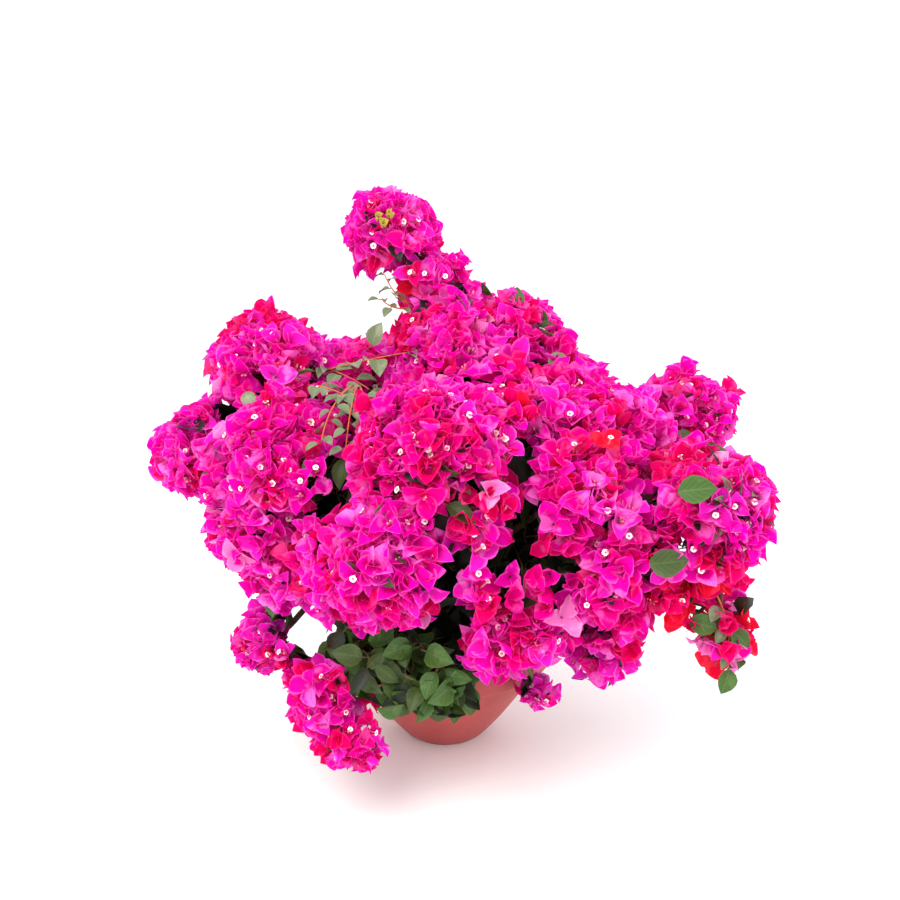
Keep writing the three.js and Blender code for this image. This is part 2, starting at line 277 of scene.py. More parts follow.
# Sprays that fill the crown's outside between its balls: each a place and a radius in mm.
canopyFill = [
    (-238, -18, 500, 27), (-90, 0, 620, 17), (36, -180, 203, 32), (245, -215, 254, 30),
    (-165, -75, 434, 42), (105, 180, 290, 46), (90, 180, 348, 46), (-100, 190, 290, 46), (215, -40, 320, 44),
    (44, -200, 271, 29), (112, -186, 258, 26),
]
canopyTrim = {  # balls that stand back a little, in mm
    ("trail", 0): 7, ("notch", 0): 4, ("top", 2): 2, ("left_top", 0): 1, ("left_far", 0): 7,
    ("left_face", 1): 9, ("right_high", 1): 2, ("left_ball", 0): 4, ("right_skirt", 0): 8,
    ("right_mid", 1): 3, ("front_drop", 0): 6,
}
ballNames = [(name, i) for name, mass in masses.items() for i in range(len(mass["balls"]))]
ballTrims = [canopyTrim.get(ballName, 0) * mm for ballName in ballNames]
crownCentres = np.concatenate([ballCentres, [np.array(fill[:3]) * mm for fill in canopyFill]])
crownRadii = np.concatenate([ballRadii - ballTrims, [fill[3] * mm for fill in canopyFill]])


def canopyHeight(points):  # how far points stand above the surface in which the crown's balls run together
    gaps = np.linalg.norm(points[..., None, :] - crownCentres, axis=-1) - crownRadii + canopySet["inset"]
    nearest = gaps.min(-1)
    shares = np.exp((nearest[..., None] - gaps) / canopySet["blend"])
    rough = np.sin(points @ lumpWaves.T + lumpStarts).sum(-1) * canopySet["lump"] / 2
    return nearest - canopySet["blend"] * np.log(shares.sum(-1)) + rough


def canopyNormal(points):
    away = points[..., None, :] - crownCentres
    gaps = np.linalg.norm(away, axis=-1)
    shares = np.exp(-(gaps - crownRadii) / canopySet["blend"])
    return unit((away / gaps[..., None] * shares[..., None]).sum(-2))


lumpWaves = unit(rng.normal(size=(4, 3))) * 2 * math.pi / canopySet["lumpSize"]
lumpStarts = rng.random(4) * 2 * math.pi


def growLimbs():
    foot = np.array([0, 0, limbSet["trunkFoot"]])
    bend = foot + up * limbSet["trunkBend"] * limbSet["trunkHeight"]
    fork = np.array([*limbSet["trunkLean"], limbSet["trunkFoot"] + limbSet["trunkHeight"]])
    curves = {"trunk": quadratic(foot, bend, fork)}
    hub = np.array([0, 0, limbSet["hubHeight"]])
    first = 0  # the number of a mass's first ball
    for name, mass in masses.items():
        start = alongCurve(curves[mass["from"]], mass["at"])
        centre, radius = mass["balls"][0]
        inward = unit(hub - centre)
        entry = limbSet["entry"] * radius
        while depthInside(first, centre + inward * entry)[0] < limbSet["entryDepth"]:
            entry -= limbSet["entryStep"]
        end = centre + inward * entry
        lift = limbSet["steepLift" if end[2] - start[2] > limbSet["steepRise"] else "flatLift"]
        bend = start + limbSet["bendShare"] * (end - start) + up * lift * np.linalg.norm(end - start)
        curves[name] = quadratic(start, bend, end)
        heading = unit(curves[name][-1] - curves[name][-2])
        centres = [c for c, r in mass["balls"]]
        outward = unit(centres[-1] - (centres[-2] if len(centres) > 1 else end))
        tip = centres[-1] + outward * limbSet["tipReach"] * mass["balls"][-1][1]
        mass["stem"] = throughPoints([end, end + heading * limbSet["entryDepth"], *centres, tip])
        first += len(mass["balls"])
    return curves


limbCurves = growLimbs()
print("limbs grown:", len(limbCurves))


# Shapes: helpers for modelling in edit mode, and for meshes joined from arrays.
def selectOnly(piece):
    bpy.ops.object.select_all(action="DESELECT")
    piece.select_set(True)
    bpy.context.view_layer.objects.active = piece


def startPiece(primitive, **settings):  # a new primitive, with nothing else selected
    bpy.ops.object.select_all(action="DESELECT")
    primitive(**settings)
    return bpy.context.object


def startEditing(piece):
    selectOnly(piece)
    bpy.ops.object.mode_set(mode="EDIT")
    bpy.ops.mesh.select_mode(type="VERT")


def pickCorners(piece, test):
    shape = bmesh.from_edit_mesh(piece.data)
    bpy.ops.mesh.select_all(action="DESELECT")
    for corner in shape.verts:
        corner.select_set(bool(test(corner.co)))
    shape.select_flush(True)
    bmesh.update_edit_mesh(piece.data)


def stopEditing():
    bpy.ops.object.mode_set(mode="OBJECT")


def applyModifiers(piece):
    selectOnly(piece)
    for modifier in list(piece.modifiers):
        bpy.ops.object.modifier_apply(modifier=modifier.name)


def settle(piece):  # the place, turn and size go into the mesh
    selectOnly(piece)
    bpy.ops.object.transform_apply(location=True, rotation=True, scale=True)


def joinPieces(first, *others):
    selectOnly(first)
    for piece in others:
        piece.select_set(True)
    bpy.ops.object.join()
    return first


def dress(piece, name, material, nodes):
    piece.name = name
    piece.data.name = name
    piece.data.materials.clear()
    piece.data.materials.append(material)
    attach(piece, "root")
    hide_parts(*nodes)
    piece.data.calc_loop_triangles()
    print("made", name, "with", len(piece.data.loop_triangles), "triangles")


def takeTemplate(piece):  # a modelled shape as arrays of corners, faces and UVs, and its object removed
    mesh = piece.data
    corners = np.array([v.co for v in mesh.vertices])
    faces = np.array([list(p.vertices) for p in mesh.polygons])
    uvs = np.array([d.uv for d in mesh.uv_layers.active.data]) if mesh.uv_layers else None
    bpy.data.objects.remove(piece)
    return corners, faces, uvs


def pieceFromArrays(corners, faces, uvs=None):
    mesh = bpy.data.meshes.new("joined")
    mesh.from_pydata(corners, [], faces)
    if uvs is not None:
        layer = mesh.uv_layers.new(name="blade")
        layer.data.foreach_set("uv", np.asarray(uvs, np.float32).ravel())
    mesh.polygons.foreach_set("use_smooth", np.ones(len(faces), bool))
    mesh.update()
    piece = bpy.data.objects.new("joined", mesh)
    bpy.context.collection.objects.link(piece)
    return piece


def scatter(template, places, axesX, axesY, axesZ, sizes):  # copies of a template joined into one mesh
    corners, faces, uvs = template
    turns = np.stack([axesX, axesY, axesZ], axis=-1) * np.asarray(sizes)[:, None, None]
    placed = np.einsum("nij,vj->nvi", turns, corners) + places[:, None, :]
    shifts = np.arange(len(places))[:, None, None] * len(corners)
    allUvs = np.tile(uvs, (len(places), 1)) if uvs is not None else None
    return placed.reshape(-1, 3), (faces[None] + shifts).reshape(-1, faces.shape[1]), allUvs


def mergeArrays(parts):  # either all parts have UVs or none has
    corners, faces, uvs = zip(*parts)
    firsts = np.cumsum([0] + [len(some) for some in corners[:-1]])
    joinedFaces = np.concatenate([some + first for some, first in zip(faces, firsts)])
    return np.concatenate(corners), joinedFaces, None if uvs[0] is None else np.concatenate(uvs)


def dressArrays(parts, name, material):
    dress(pieceFromArrays(*mergeArrays(parts)), name, material, massNodes)


def tubes(paths, radii, sides):  # closed tubes along paths of (count, rings, 3), with a radius at each ring
    count, rings = paths.shape[:2]
    radii = np.broadcast_to(radii, (count, rings))
    tangents = unit(np.gradient(paths, axis=1))
    helper = np.where(np.abs(tangents[:, :1, 2:]) < 0.8, up, np.array([1.0, 0, 0]))
    sideways = unit(np.cross(tangents, np.broadcast_to(helper, tangents.shape)))
    across = np.cross(tangents, sideways)
    angles = np.arange(sides) * 2 * math.pi / sides
    spokes = sideways[:, :, None] * np.cos(angles)[:, None] + across[:, :, None] * np.sin(angles)[:, None]
    corners = paths[:, :, None] + spokes * radii[:, :, None, None]
    faces = []
    for ring in range(rings - 1):
        for side in range(sides):
            a = ring * sides + side
            b = ring * sides + (side + 1) % sides
            faces += [(a, b, b + sides), (a, b + sides, a + sides)]
    last = (rings - 1) * sides
    for side in range(1, sides - 1):
        faces += [(0, side + 1, side), (last, last + side, last + side + 1)]
    shifts = np.arange(count)[:, None, None] * rings * sides
    return corners.reshape(-1, 3), (np.array(faces)[None] + shifts).reshape(-1, 3), None


# Materials. Each bract colour is a paler or deeper tint of the same papery magenta.
bractTints = {  # blade, paler margin and blotches (partly a faded tint, partly painted highlight), veins
    "magenta": ("#f204ba", "#ff84e8", "#e20496"),
    "deep_pink": ("#f2029c", "#ff6cd2", "#de0276"),
    "orchid": ("#f822cc", "#ff98ee", "#ee12b2"),
    "crimson": ("#ee0272", "#fc54ac", "#cc0256"),
    # Pale pink: partly faded bracts, partly painted highlight.
    "pale_pink": ("#fd90dc", "#ffc0ee", "#f45fbc"),
    "coral": ("#ee1240", "#f6405f", "#c80a2a"),
    "bud_green": ("#c9c65a", "#dcd98a", "#a9a63c"),
}
leafTints = {  # blade, painted sheen on margins and patches, veins
    "grey_green": ("#6f7f5c", "#8f9c7c", "#a3ae8e"),
    "dark": ("#3a4e20", "#4c6030", "#5f7342"),
    "deep": ("#3e6126", "#537638", "#6c8a4c"),
    # The shade tint is near-black: painted shade for leaves deep in and under the crown.
    "shade": ("#1a2313", "#26321b", "#303c24"),
}
bractSheet = {"roughness": 0.6, "specular": 0.04, "through": 0.42, "veinPairs": 7, "paleAndSheenSize": 26 * mm}
leafSheet = {"roughness": 0.44, "specular": 0.34, "through": 0.16, "veinPairs": 6, "paleAndSheenSize": 20 * mm}
veinSet = {
    "slant": 14.0, "share": 0.45, "bump": 0.35, "relief": 0.4 * mm, "sideVein": 0.3, "midrib": 0.05,
    "margin": (0.37, 0.5, 0.0, 0.6), "patch": (0.57, 0.65, 0.0, 0.78),  # where and how much paler: on bracts partly a faded tint and partly painted highlight, on leaves painted sheen
}


def spread(low, high, start, end):  # a Map Range node's settings
    return {"From Min": low, "From Max": high, "To Min": start, "To Max": end}


def bladeMaterial(name, tints, sheet):  # a thin blade: its veins fan from the midrib and light comes through
    material, tree = newMaterial(name)
    uv = addNode(tree, "UVMap", {"uv_map": "blade"})
    split = addNode(tree, "SeparateXYZ", links={"Vector": uv})
    offset = addNode(tree, "Math", {"operation": "SUBTRACT", 1: 0.5}, {0: split.outputs["X"]})
    aside = addNode(tree, "Math", {"operation": "ABSOLUTE"}, {0: offset})
    veinTurns = {"operation": "MULTIPLY", 1: sheet["veinPairs"] * math.pi}
    along = addNode(tree, "Math", veinTurns, {0: split.outputs["Y"]})
    slant = addNode(tree, "Math", {"operation": "MULTIPLY_ADD", 1: -veinSet["slant"]}, {0: aside, 2: along})
    wave = addNode(tree, "Math", {"operation": "SINE"}, {0: slant})
    ribs = addNode(tree, "Math", {"operation": "ABSOLUTE"}, {0: wave})
    sideVeins = addNode(tree, "MapRange", spread(0.0, veinSet["sideVein"], 1.0, 0.0), {"Value": ribs})
    midrib = addNode(tree, "MapRange", spread(0.0, veinSet["midrib"], 1.0, 0.0), {"Value": aside})
    veins = addNode(tree, "Math", {"operation": "MAXIMUM"}, {0: sideVeins, 1: midrib})
    where = addNode(tree, "TexCoord").outputs["Object"]
    paleAndSheenNoise = addNode(tree, "TexNoise", {"Scale": 1 / sheet["paleAndSheenSize"], "Detail": 2.0}, {"Vector": where})
    # Paler margins and noise blotches: on bracts partly a faded tint and partly painted highlight, on leaves
    # painted sheen.
    margin = addNode(tree, "MapRange", spread(*veinSet["margin"]), {"Value": aside})
    patch = addNode(tree, "MapRange", spread(*veinSet["patch"]), {"Value": paleAndSheenNoise.outputs["Fac"]})
    paler = addNode(tree, "Math", {"operation": "MAXIMUM"}, {0: margin, 1: patch})
    blade, edge, vein = (linear(tint) for tint in tints)
    body = addNode(tree, "Mix", {"data_type": "RGBA", 6: blade, 7: edge}, {0: paler})
    veinShare = addNode(tree, "Math", {"operation": "MULTIPLY", 1: veinSet["share"]}, {0: veins})
    mixed = addNode(tree, "Mix", {"data_type": "RGBA", 7: vein}, {0: veinShare, 6: body.outputs[2]})
    colour = mixed.outputs[2]
    ridges = {"Strength": veinSet["bump"], "Distance": veinSet["relief"]}
    bump = addNode(tree, "Bump", ridges, {"Height": veins})
    finish = {"Roughness": sheet["roughness"], "Specular IOR Level": sheet["specular"]}
    surface = addNode(tree, "BsdfPrincipled", finish, {"Base Color": colour, "Normal": bump})
    glow = addNode(tree, "BsdfTranslucent", links={"Color": colour})
    both = addNode(tree, "MixShader", {0: sheet["through"]}, {1: surface, 2: glow})
    addNode(tree, "OutputMaterial", links={"Surface": both})
    return material


def grainMaterial(name, colours, grain, finish, relief, stretch=(1, 1, 1)):  # mottled, with a fine relief
    material, tree = newMaterial(name)
    where = addNode(tree, "TexCoord").outputs["Object"]
    placed = addNode(tree, "Mapping", {"Scale": stretch}, {"Vector": where})
    mottle = {"Scale": 1 / grain[0], "Detail": 4.0, "Roughness": 0.6}
    coarse = addNode(tree, "TexNoise", mottle, {"Vector": placed})
    fine = addNode(tree, "TexNoise", {"Scale": 1 / grain[1], "Detail": 3.0}, {"Vector": placed})
    stops = [(0.3 + 0.4 * i / (len(colours) - 1), colour) for i, colour in enumerate(colours)]
    ramp = addNode(tree, "ValToRGB", {"stops": stops}, {"Fac": coarse.outputs["Fac"]})
    bump = addNode(tree, "Bump", {"Strength": 0.6, "Distance": relief}, {"Height": fine.outputs["Fac"]})
    surface = addNode(tree, "BsdfPrincipled", finish, {"Base Color": ramp.outputs["Color"], "Normal": bump})
    addNode(tree, "OutputMaterial", links={"Surface": surface})
    return material


def gloss(roughness, specular=0.5):
    return {"Roughness": roughness, "Specular IOR Level": specular}


# Thin dry blades with a satin surface: saturated where light passes through, paler along the margins and in
# blotches, partly a faded tint and partly painted highlight.
bractMaterials = {tint: bladeMaterial("papery bract, " + tint, colours, bractSheet)
                  for tint, colours in bractTints.items()}
# Cuticle over a matt blade: grey sheen where it faces the sky, and painted sheen on its margins and in
# patches.
leafMaterials = {tint: bladeMaterial("living leaf, " + tint, colours, leafSheet)
                 for tint, colours in leafTints.items()}
# Waxy white corolla: almost matt, faintly cream.
corollaWax = grainMaterial("waxy white corolla", ["#f2efe6", "#fffdf8"], (4 * mm, 0.6 * mm),
                           gloss(0.6, 0.3), 0.1 * mm)
throatFlesh = grainMaterial("green flower throat", ["#4c4a1c", "#77722c"], (2 * mm, 0.5 * mm),
                            gloss(0.6), 0.1 * mm)
tubeFlesh = grainMaterial("downy flower tube", ["#c2185c", "#e88aa0", "#d9a58c"], (5 * mm, 0.5 * mm),
                          gloss(0.7), 0.15 * mm)
# Old bougainvillea wood: grey-brown, cracked lengthwise, matt.
oldBark = grainMaterial("cracked grey-brown bark", ["#3d3027", "#6b5747", "#8c7a66"], (9 * mm, 1.2 * mm),
                        gloss(0.85, 0.25), 0.7 * mm, (1, 1, 0.35))
# Green wood that reddens towards the tips, with a slight sheen.
youngBark = grainMaterial("green young wood", ["#4a3b22", "#5e5a30", "#7d4a30"], (22 * mm, 1 * mm),
                          gloss(0.6, 0.35), 0.2 * mm)
shootRind = grainMaterial("red-orange new shoot", ["#a83a22", "#c96a34", "#b84a2c"], (18 * mm, 1 * mm),
                          gloss(0.5), 0.15 * mm)
# Damp compost: dark, crumbly, no shine.
compost = grainMaterial("damp potting compost", ["#1c130d", "#33251a", "#4d3a29"], (5 * mm, 1 * mm),
                        gloss(0.95, 0.2), 1.0 * mm)
# Injection-moulded polypropylene: satin, with faint flow marks and a fine orange-peel grain.
potPlastic = grainMaterial("moulded salmon polypropylene", ["#9e3937", "#a7403e", "#af4644"],
                           (60 * mm, 1.4 * mm), gloss(0.46, 0.45), 0.12 * mm)
print("materials made")

# The pot: a thin moulded bowl on a flat foot, with a band and a rolled lip.
potSet = {
    "foot": 52 * mm, "wallTop": 130 * mm, "rim": 142 * mm, "bandFoot": 110 * mm, "height": 136 * mm,
    "wall": 3.6 * mm, "belly": 30 * mm, "sides": 120, "wallSteps": 16, "lip": 2.6 * mm, "edge": 1.2 * mm,
    "bandIn": 4 * mm,
}


def potWall(inset, steps):  # the wall's curve, as the frame has it
    foot = np.array([potSet["foot"] - inset, inset])
    belly = np.array([potSet["foot"] + potSet["belly"] - inset, potSet["belly"] + 0.4 * inset])
    top = np.array([potSet["wallTop"] - inset, potSet["bandFoot"]])
    return quadratic(foot, belly, top, steps)


def arc(centre, radius, start, end, steps):
    turns = np.radians(np.linspace(start, end, steps + 1))
    return np.stack([centre[0] + radius * np.cos(turns), centre[1] + radius * np.sin(turns)], axis=1)


def potProfile():  # from the foot's edge up the wall, over the lip and down inside
    rim, lip, top, edge = potSet["rim"], potSet["lip"], potSet["height"], potSet["edge"]
    bandX, bandZ = rim - potSet["bandIn"], potSet["bandFoot"] + 0.6 * mm
    foot = [(potSet["foot"] - edge, 0), (potSet["foot"] - 0.3 * mm, 0.4 * mm)]
    wall = potWall(0, potSet["wallSteps"])[1:]
    underBand = [(potSet["wallTop"] + edge, potSet["bandFoot"] + 0.2 * mm), (bandX, bandZ)]
    bandEdge = arc((bandX, bandZ + edge), edge, -80, -5, 3)
    outerLip = arc((rim - lip, top - lip), lip, 5, 90, 5)
    innerLip = arc((potSet["wallTop"] + 1 * mm + lip, top - lip), lip, 90, 175, 5)
    inside = potWall(potSet["wall"], potSet["wallSteps"])[::-1]
    return np.concatenate([foot, wall, underBand, bandEdge, outerLip, innerLip, inside])


def extrudeRings(profile):  # the selected face is drawn out ring by ring
    for (radius, height), (nextRadius, nextHeight) in zip(profile, profile[1:]):
        bpy.ops.mesh.extrude_region_move(TRANSFORM_OT_translate={"value": (0, 0, nextHeight - height)})
        scale = nextRadius / radius
        bpy.ops.transform.resize(value=(scale, scale, 1), center_override=(0, 0, nextHeight))


def finishShell(piece, angle):
    bpy.ops.mesh.select_all(action="SELECT")
    bpy.ops.mesh.normals_make_consistent(inside=False)
    stopEditing()
    selectOnly(piece)
    bpy.ops.object.shade_smooth_by_angle(angle=math.radians(angle))


def makePot():
    profile = potProfile()
    pot = startPiece(bpy.ops.mesh.primitive_circle_add, vertices=potSet["sides"], radius=profile[0][0],
                     fill_type="NGON")
    startEditing(pot)
    bpy.ops.mesh.select_all(action="SELECT")
    extrudeRings(profile)
    finishShell(pot, 50)
    dress(pot, "moulded_pot", potPlastic, ["pot"])


makePot()
bandSide = [(potSet["rim"], potSet["bandFoot"] + 1 * mm), (potSet["rim"], potSet["height"] + 1 * mm)]
wallRadii, wallHeights = np.concatenate([potWall(0, 30), bandSide]).T


def clearOfPot(points, room):  # whether points stand clear of the pot's outside and its compost
    reach = np.hypot(points[..., 0], points[..., 1])
    height = points[..., 2]
    beside = reach > np.interp(height, wallHeights, wallRadii) + room
    return (height > 2 * mm) & (beside | (height > potSet["height"] + room))


# The compost: a low crumbly dome with loose crumbs.
soilSet = {
    "low": 100 * mm, "rim": 117 * mm, "crown": 125.5 * mm, "room": 0.8 * mm, "rings": 26, "sides": 110,
    "relief": [(11 * mm, 3.2 * mm), (3.5 * mm, 1.4 * mm)],  # size and depth of its lumps and crumbs
    "sideDrop": 6 * mm, "reliefDrop": 3 * mm, "reliefLevel": 0.62,
    "loose": 520, "looseSize": (1.4 * mm, 4.2 * mm), "looseRoom": 5 * mm, "looseUpright": 1.5,
    "crumbRough": 0.35, "crumbShape": (1, 0.8, 0.6),
}


def soilRadius(height):
    inside = potWall(potSet["wall"] + soilSet["room"], 30)
    return float(np.interp(height, inside[:, 1], inside[:, 0]))


def makeSoil():
    low, rim = soilSet["low"], soilSet["rim"]
    edge = soilRadius(rim)
    domeRadii = np.linspace(edge, 2 * mm, soilSet["rings"])
    dome = [(r, rim + (soilSet["crown"] - rim) * (1 - (r / edge) ** 2)) for r in domeRadii]
    sideTop = rim - soilSet["sideDrop"]
    profile = [(soilRadius(low), low), (soilRadius(sideTop), sideTop)] + dome
    soil = startPiece(bpy.ops.mesh.primitive_circle_add, vertices=soilSet["sides"], radius=profile[0][0],
                      fill_type="NGON", location=(0, 0, low))
    settle(soil)
    startEditing(soil)
    bpy.ops.mesh.select_all(action="SELECT")
    extrudeRings(profile)
    bpy.ops.mesh.merge(type="CENTER")
    finishShell(soil, 80)
    top = soil.vertex_groups.new(name="top")
    reliefFoot = rim - soilSet["reliefDrop"]
    top.add([v.index for v in soil.data.vertices if v.co.z > reliefFoot], 1.0, "REPLACE")
    for size, depth in soilSet["relief"]:
        texture = bpy.data.textures.new("crumble", "CLOUDS")
        texture.noise_scale = size
        relief = soil.modifiers.new("crumble", "DISPLACE")
        relief.texture = texture
        relief.texture_coords = "LOCAL"
        relief.strength = depth
        relief.mid_level = soilSet["reliefLevel"]
        relief.vertex_group = "top"
    applyModifiers(soil)
    loose = pieceFromArrays(*scatterCrumbs(edge))
    dress(joinPieces(soil, loose), "crumbly_compost", compost, ["soil"])


def makeCrumb():
    crumb = startPiece(bpy.ops.mesh.primitive_ico_sphere_add, subdivisions=1, radius=1)
    startEditing(crumb)
    bpy.ops.mesh.select_all(action="SELECT")
    bpy.ops.transform.vertex_random(offset=soilSet["crumbRough"], seed=3)
    bpy.ops.transform.resize(value=soilSet["crumbShape"], center_override=(0, 0, 0))
    stopEditing()
    return takeTemplate(crumb)[:2] + (None,)


def scatterCrumbs(edge):  # loose crumbs over the dome
    template = makeCrumb()
    rim, count = soilSet["rim"], soilSet["loose"]
    reach = (edge - soilSet["looseRoom"]) * np.sqrt(rng.random(count))
    turn = rng.random(count) * 2 * math.pi
    height = rim + (soilSet["crown"] - rim) * (1 - (reach / edge) ** 2)
    places = np.stack([reach * np.cos(turn), reach * np.sin(turn), height], axis=1)
    axesZ = unit(rng.normal(size=(count, 3)) + soilSet["looseUpright"] * up)
    axesX, axesY = acrossAxes(axesZ)
    sizes = rng.uniform(*soilSet["looseSize"], count) * rng.random(count) ** 0.5
    return scatter(template, places, axesX, axesY, axesZ, sizes)


def acrossAxes(axes):  # two directions square to each axis, turned by chance
    helper = unit(rng.normal(size=axes.shape))
    first = unit(np.cross(axes, helper))
    return first, np.cross(axes, first)


makeSoil()

# The trunk and boughs, with cracked bark, swollen nodes and thorns.
barkSet = {
    "stepLength": 3.4 * mm, "ridges": 6, "ridgeDepth": 0.075, "nodeGap": 34 * mm, "nodeSwell": 0.14,
    "nodeWidth": 0.11, "wander": [(1.6, 7, 1), (0.9, 17, 2.3)],  # the ridges' waves: depth, turns and shift
    "lobes": 4, "lobeDepth": 0.16, "lobeShare": 0.16,  # of the trunk's root flare
    "trunkSides": 48, "boughSides": 18, "thornGap": 30 * mm, "thornLength": 8 * mm, "thornFoot": 1.3 * mm,
    "thornTaper": (1.2, 0.7, 0.4, 0.06), "thornSink": 0.7, "thornLean": 0.35, "thornBend": 30 * mm,
}


def framesAlong(curve):  # a point's tangent and two directions square to it, carried along without twist
    tangents = unit(np.gradient(curve, axis=0))
    first = unit(np.cross(tangents[0], up if abs(tangents[0][2]) < 0.9 else [1.0, 0, 0]))
    sideways = [first]
    for tangent in tangents[1:]:
        carried = sideways[-1] - tangent * np.dot(sideways[-1], tangent)
        sideways.append(unit(carried))
    sideways = np.array(sideways)
    return tangents, sideways, np.cross(tangents, sideways)


def barkLimb(curve, radiusAt, sides, number, flare):
    length = np.linalg.norm(np.diff(curve, axis=0), axis=1).sum()
    steps = max(8, int(length / barkSet["stepLength"]))
    piece = startPiece(bpy.ops.mesh.primitive_cylinder_add, vertices=sides, radius=1, depth=1,
                       end_fill_type="NGON")
    startEditing(piece)
    bpy.ops.mesh.select_mode(type="EDGE")
    bpy.ops.mesh.select_all(action="DESELECT")
    shape = bmesh.from_edit_mesh(piece.data)
    for edge in shape.edges:
        edge.select_set(abs(edge.verts[0].co.z - edge.verts[1].co.z) > 0.5)
    bmesh.update_edit_mesh(piece.data)
    bpy.ops.mesh.subdivide(number_cuts=steps - 1)
    stopEditing()
    corners = np.array([v.co for v in piece.data.vertices])
    share = np.clip(corners[:, 2] + 0.5, 0, 1)
    angle = np.arctan2(corners[:, 1], corners[:, 0])
    place, rows = share * (len(curve) - 1), np.arange(len(curve))
    sideways, across = (unit(np.stack([np.interp(place, rows, table[:, k]) for k in range(3)], -1))
                        for table in framesAlong(curve)[1:])
    wander = sum(depth * np.sin(turns * share + shift * number) for depth, turns, shift in barkSet["wander"])
    ridge = 1 - 2 * np.abs(np.sin(0.5 * (barkSet["ridges"] * angle + wander)))
    nodes = np.exp(-((share * length / barkSet["nodeGap"] % 1 - 0.5) / barkSet["nodeWidth"]) ** 2)
    relief = barkSet["ridgeDepth"] * ridge + barkSet["nodeSwell"] * nodes * (1 - flare)
    lobeTurns = barkSet["lobes"] * angle + 0.6
    lobes = flare * barkSet["lobeDepth"] * np.exp(-share / barkSet["lobeShare"]) * np.cos(lobeTurns)
    reach = np.hypot(corners[:, 0], corners[:, 1]) * radiusAt(share) * (1 + relief + lobes)
    spoke = sideways * np.cos(angle)[:, None] + across * np.sin(angle)[:, None]
    placed = alongCurve(curve, share) + spoke * reach[:, None]
    piece.data.vertices.foreach_set("co", placed.astype(np.float32).ravel())
    piece.data.update()
    bpy.ops.object.shade_smooth()
    return piece


def makeThorns(curve, radiusAt):  # in the leaf axils: short, straight, leaning to the tip
    length = np.linalg.norm(np.diff(curve, axis=0), axis=1).sum()
    count = max(2, int(length / barkSet["thornGap"]))
    shares = (np.arange(count) + 0.6) / count
    tangents, sideways, across = framesAlong(curve)
    rows = np.round(shares * (len(curve) - 1)).astype(int).clip(0, len(curve) - 1)
    turns = np.arange(count) * goldenAngle
    spokes = sideways[rows] * np.cos(turns)[:, None] + across[rows] * np.sin(turns)[:, None]
    foot = curve[rows] + spokes * (radiusAt(shares) * barkSet["thornSink"])[:, None]
    lean = unit(spokes + barkSet["thornLean"] * tangents[rows])
    taper = np.array(barkSet["thornTaper"])
    reach = np.linspace(0, 1, len(taper))[None, :, None] * barkSet["thornLength"]
    bend = tangents[rows][:, None] * reach ** 2 / barkSet["thornBend"]
    paths = foot[:, None] + lean[:, None] * reach + bend
    return tubes(paths, barkSet["thornFoot"] * taper, 5)


def makeLimbs():
    trunk = barkLimb(limbCurves["trunk"], trunkRadius, barkSet["trunkSides"], 0, 1.0)
    dress(trunk, "trunk_bark", oldBark, ["trunk"])
    pieces, thorns = [], []
    for number, (name, mass) in enumerate(masses.items()):
        root = limbSet["caneRoot" if mass["from"] == "trunk" else "sideRoot"]

        def radiusAt(share):
            return root + (limbSet["boughTip"] - root) * share
        pieces.append(barkLimb(limbCurves[name], radiusAt, barkSet["boughSides"], number + 1, 0.0))
        thorns.append(makeThorns(limbCurves[name], radiusAt))
    boughs = joinPieces(*pieces, pieceFromArrays(*mergeArrays(thorns)))
    dress(boughs, "bough_bark", oldBark, boughNodes)


makeLimbs()
print("trunk and boughs made")

# Templates, each modelled once: a blade runs 1 along +Y from its foot, and its inner face looks up +Z.
bractShapes = [  # half widths from foot to tip, rise of the midrib, fold of the sides, sweep of the tip
    # cupped, open, recurved and twisted
    ((0.10, 0.30, 0.41, 0.43, 0.37, 0.22, 0.01), (0, -0.05, -0.09, -0.07, 0.01, 0.11, 0.2), 0.46, 0.04),
    ((0.10, 0.31, 0.42, 0.44, 0.38, 0.23, 0.01), (0, 0.03, 0.06, 0.06, 0.03, -0.03, -0.1), 0.26, -0.05),
    ((0.09, 0.29, 0.40, 0.42, 0.36, 0.22, 0.01), (0, 0.06, 0.12, 0.13, 0.07, -0.05, -0.17), 0.34, 0.07),
    ((0.09, 0.28, 0.39, 0.41, 0.34, 0.20, 0.01), (0, -0.02, 0.02, 0.07, 0.1, 0.09, 0.04), 0.56, -0.12),
]
leafShapes = [  # pointed and broad
    ((0.05, 0.17, 0.26, 0.27, 0.21, 0.11, 0.008), (0, 0.02, 0.03, 0.02, -0.01, -0.06, -0.14), 0.34, 0.02),
    ((0.07, 0.26, 0.36, 0.36, 0.27, 0.14, 0.008), (0, 0.03, 0.04, 0.03, 0, -0.05, -0.12), 0.22, -0.02),
]
bladeGrid = {
    "across": 4, "along": 6, "rows": (0, 0.12, 0.3, 0.5, 0.7, 0.87, 1), "innerFold": 0.26, "flatten": 1.5,
    "bractRipple": 0.075, "leafRipple": 0.02,  # how far every other margin corner stands up
    "steps": (1, 2),  # the second takes half as many rows and columns, for blades inside the crown
    "largestPiece": 180000,  # triangles
}


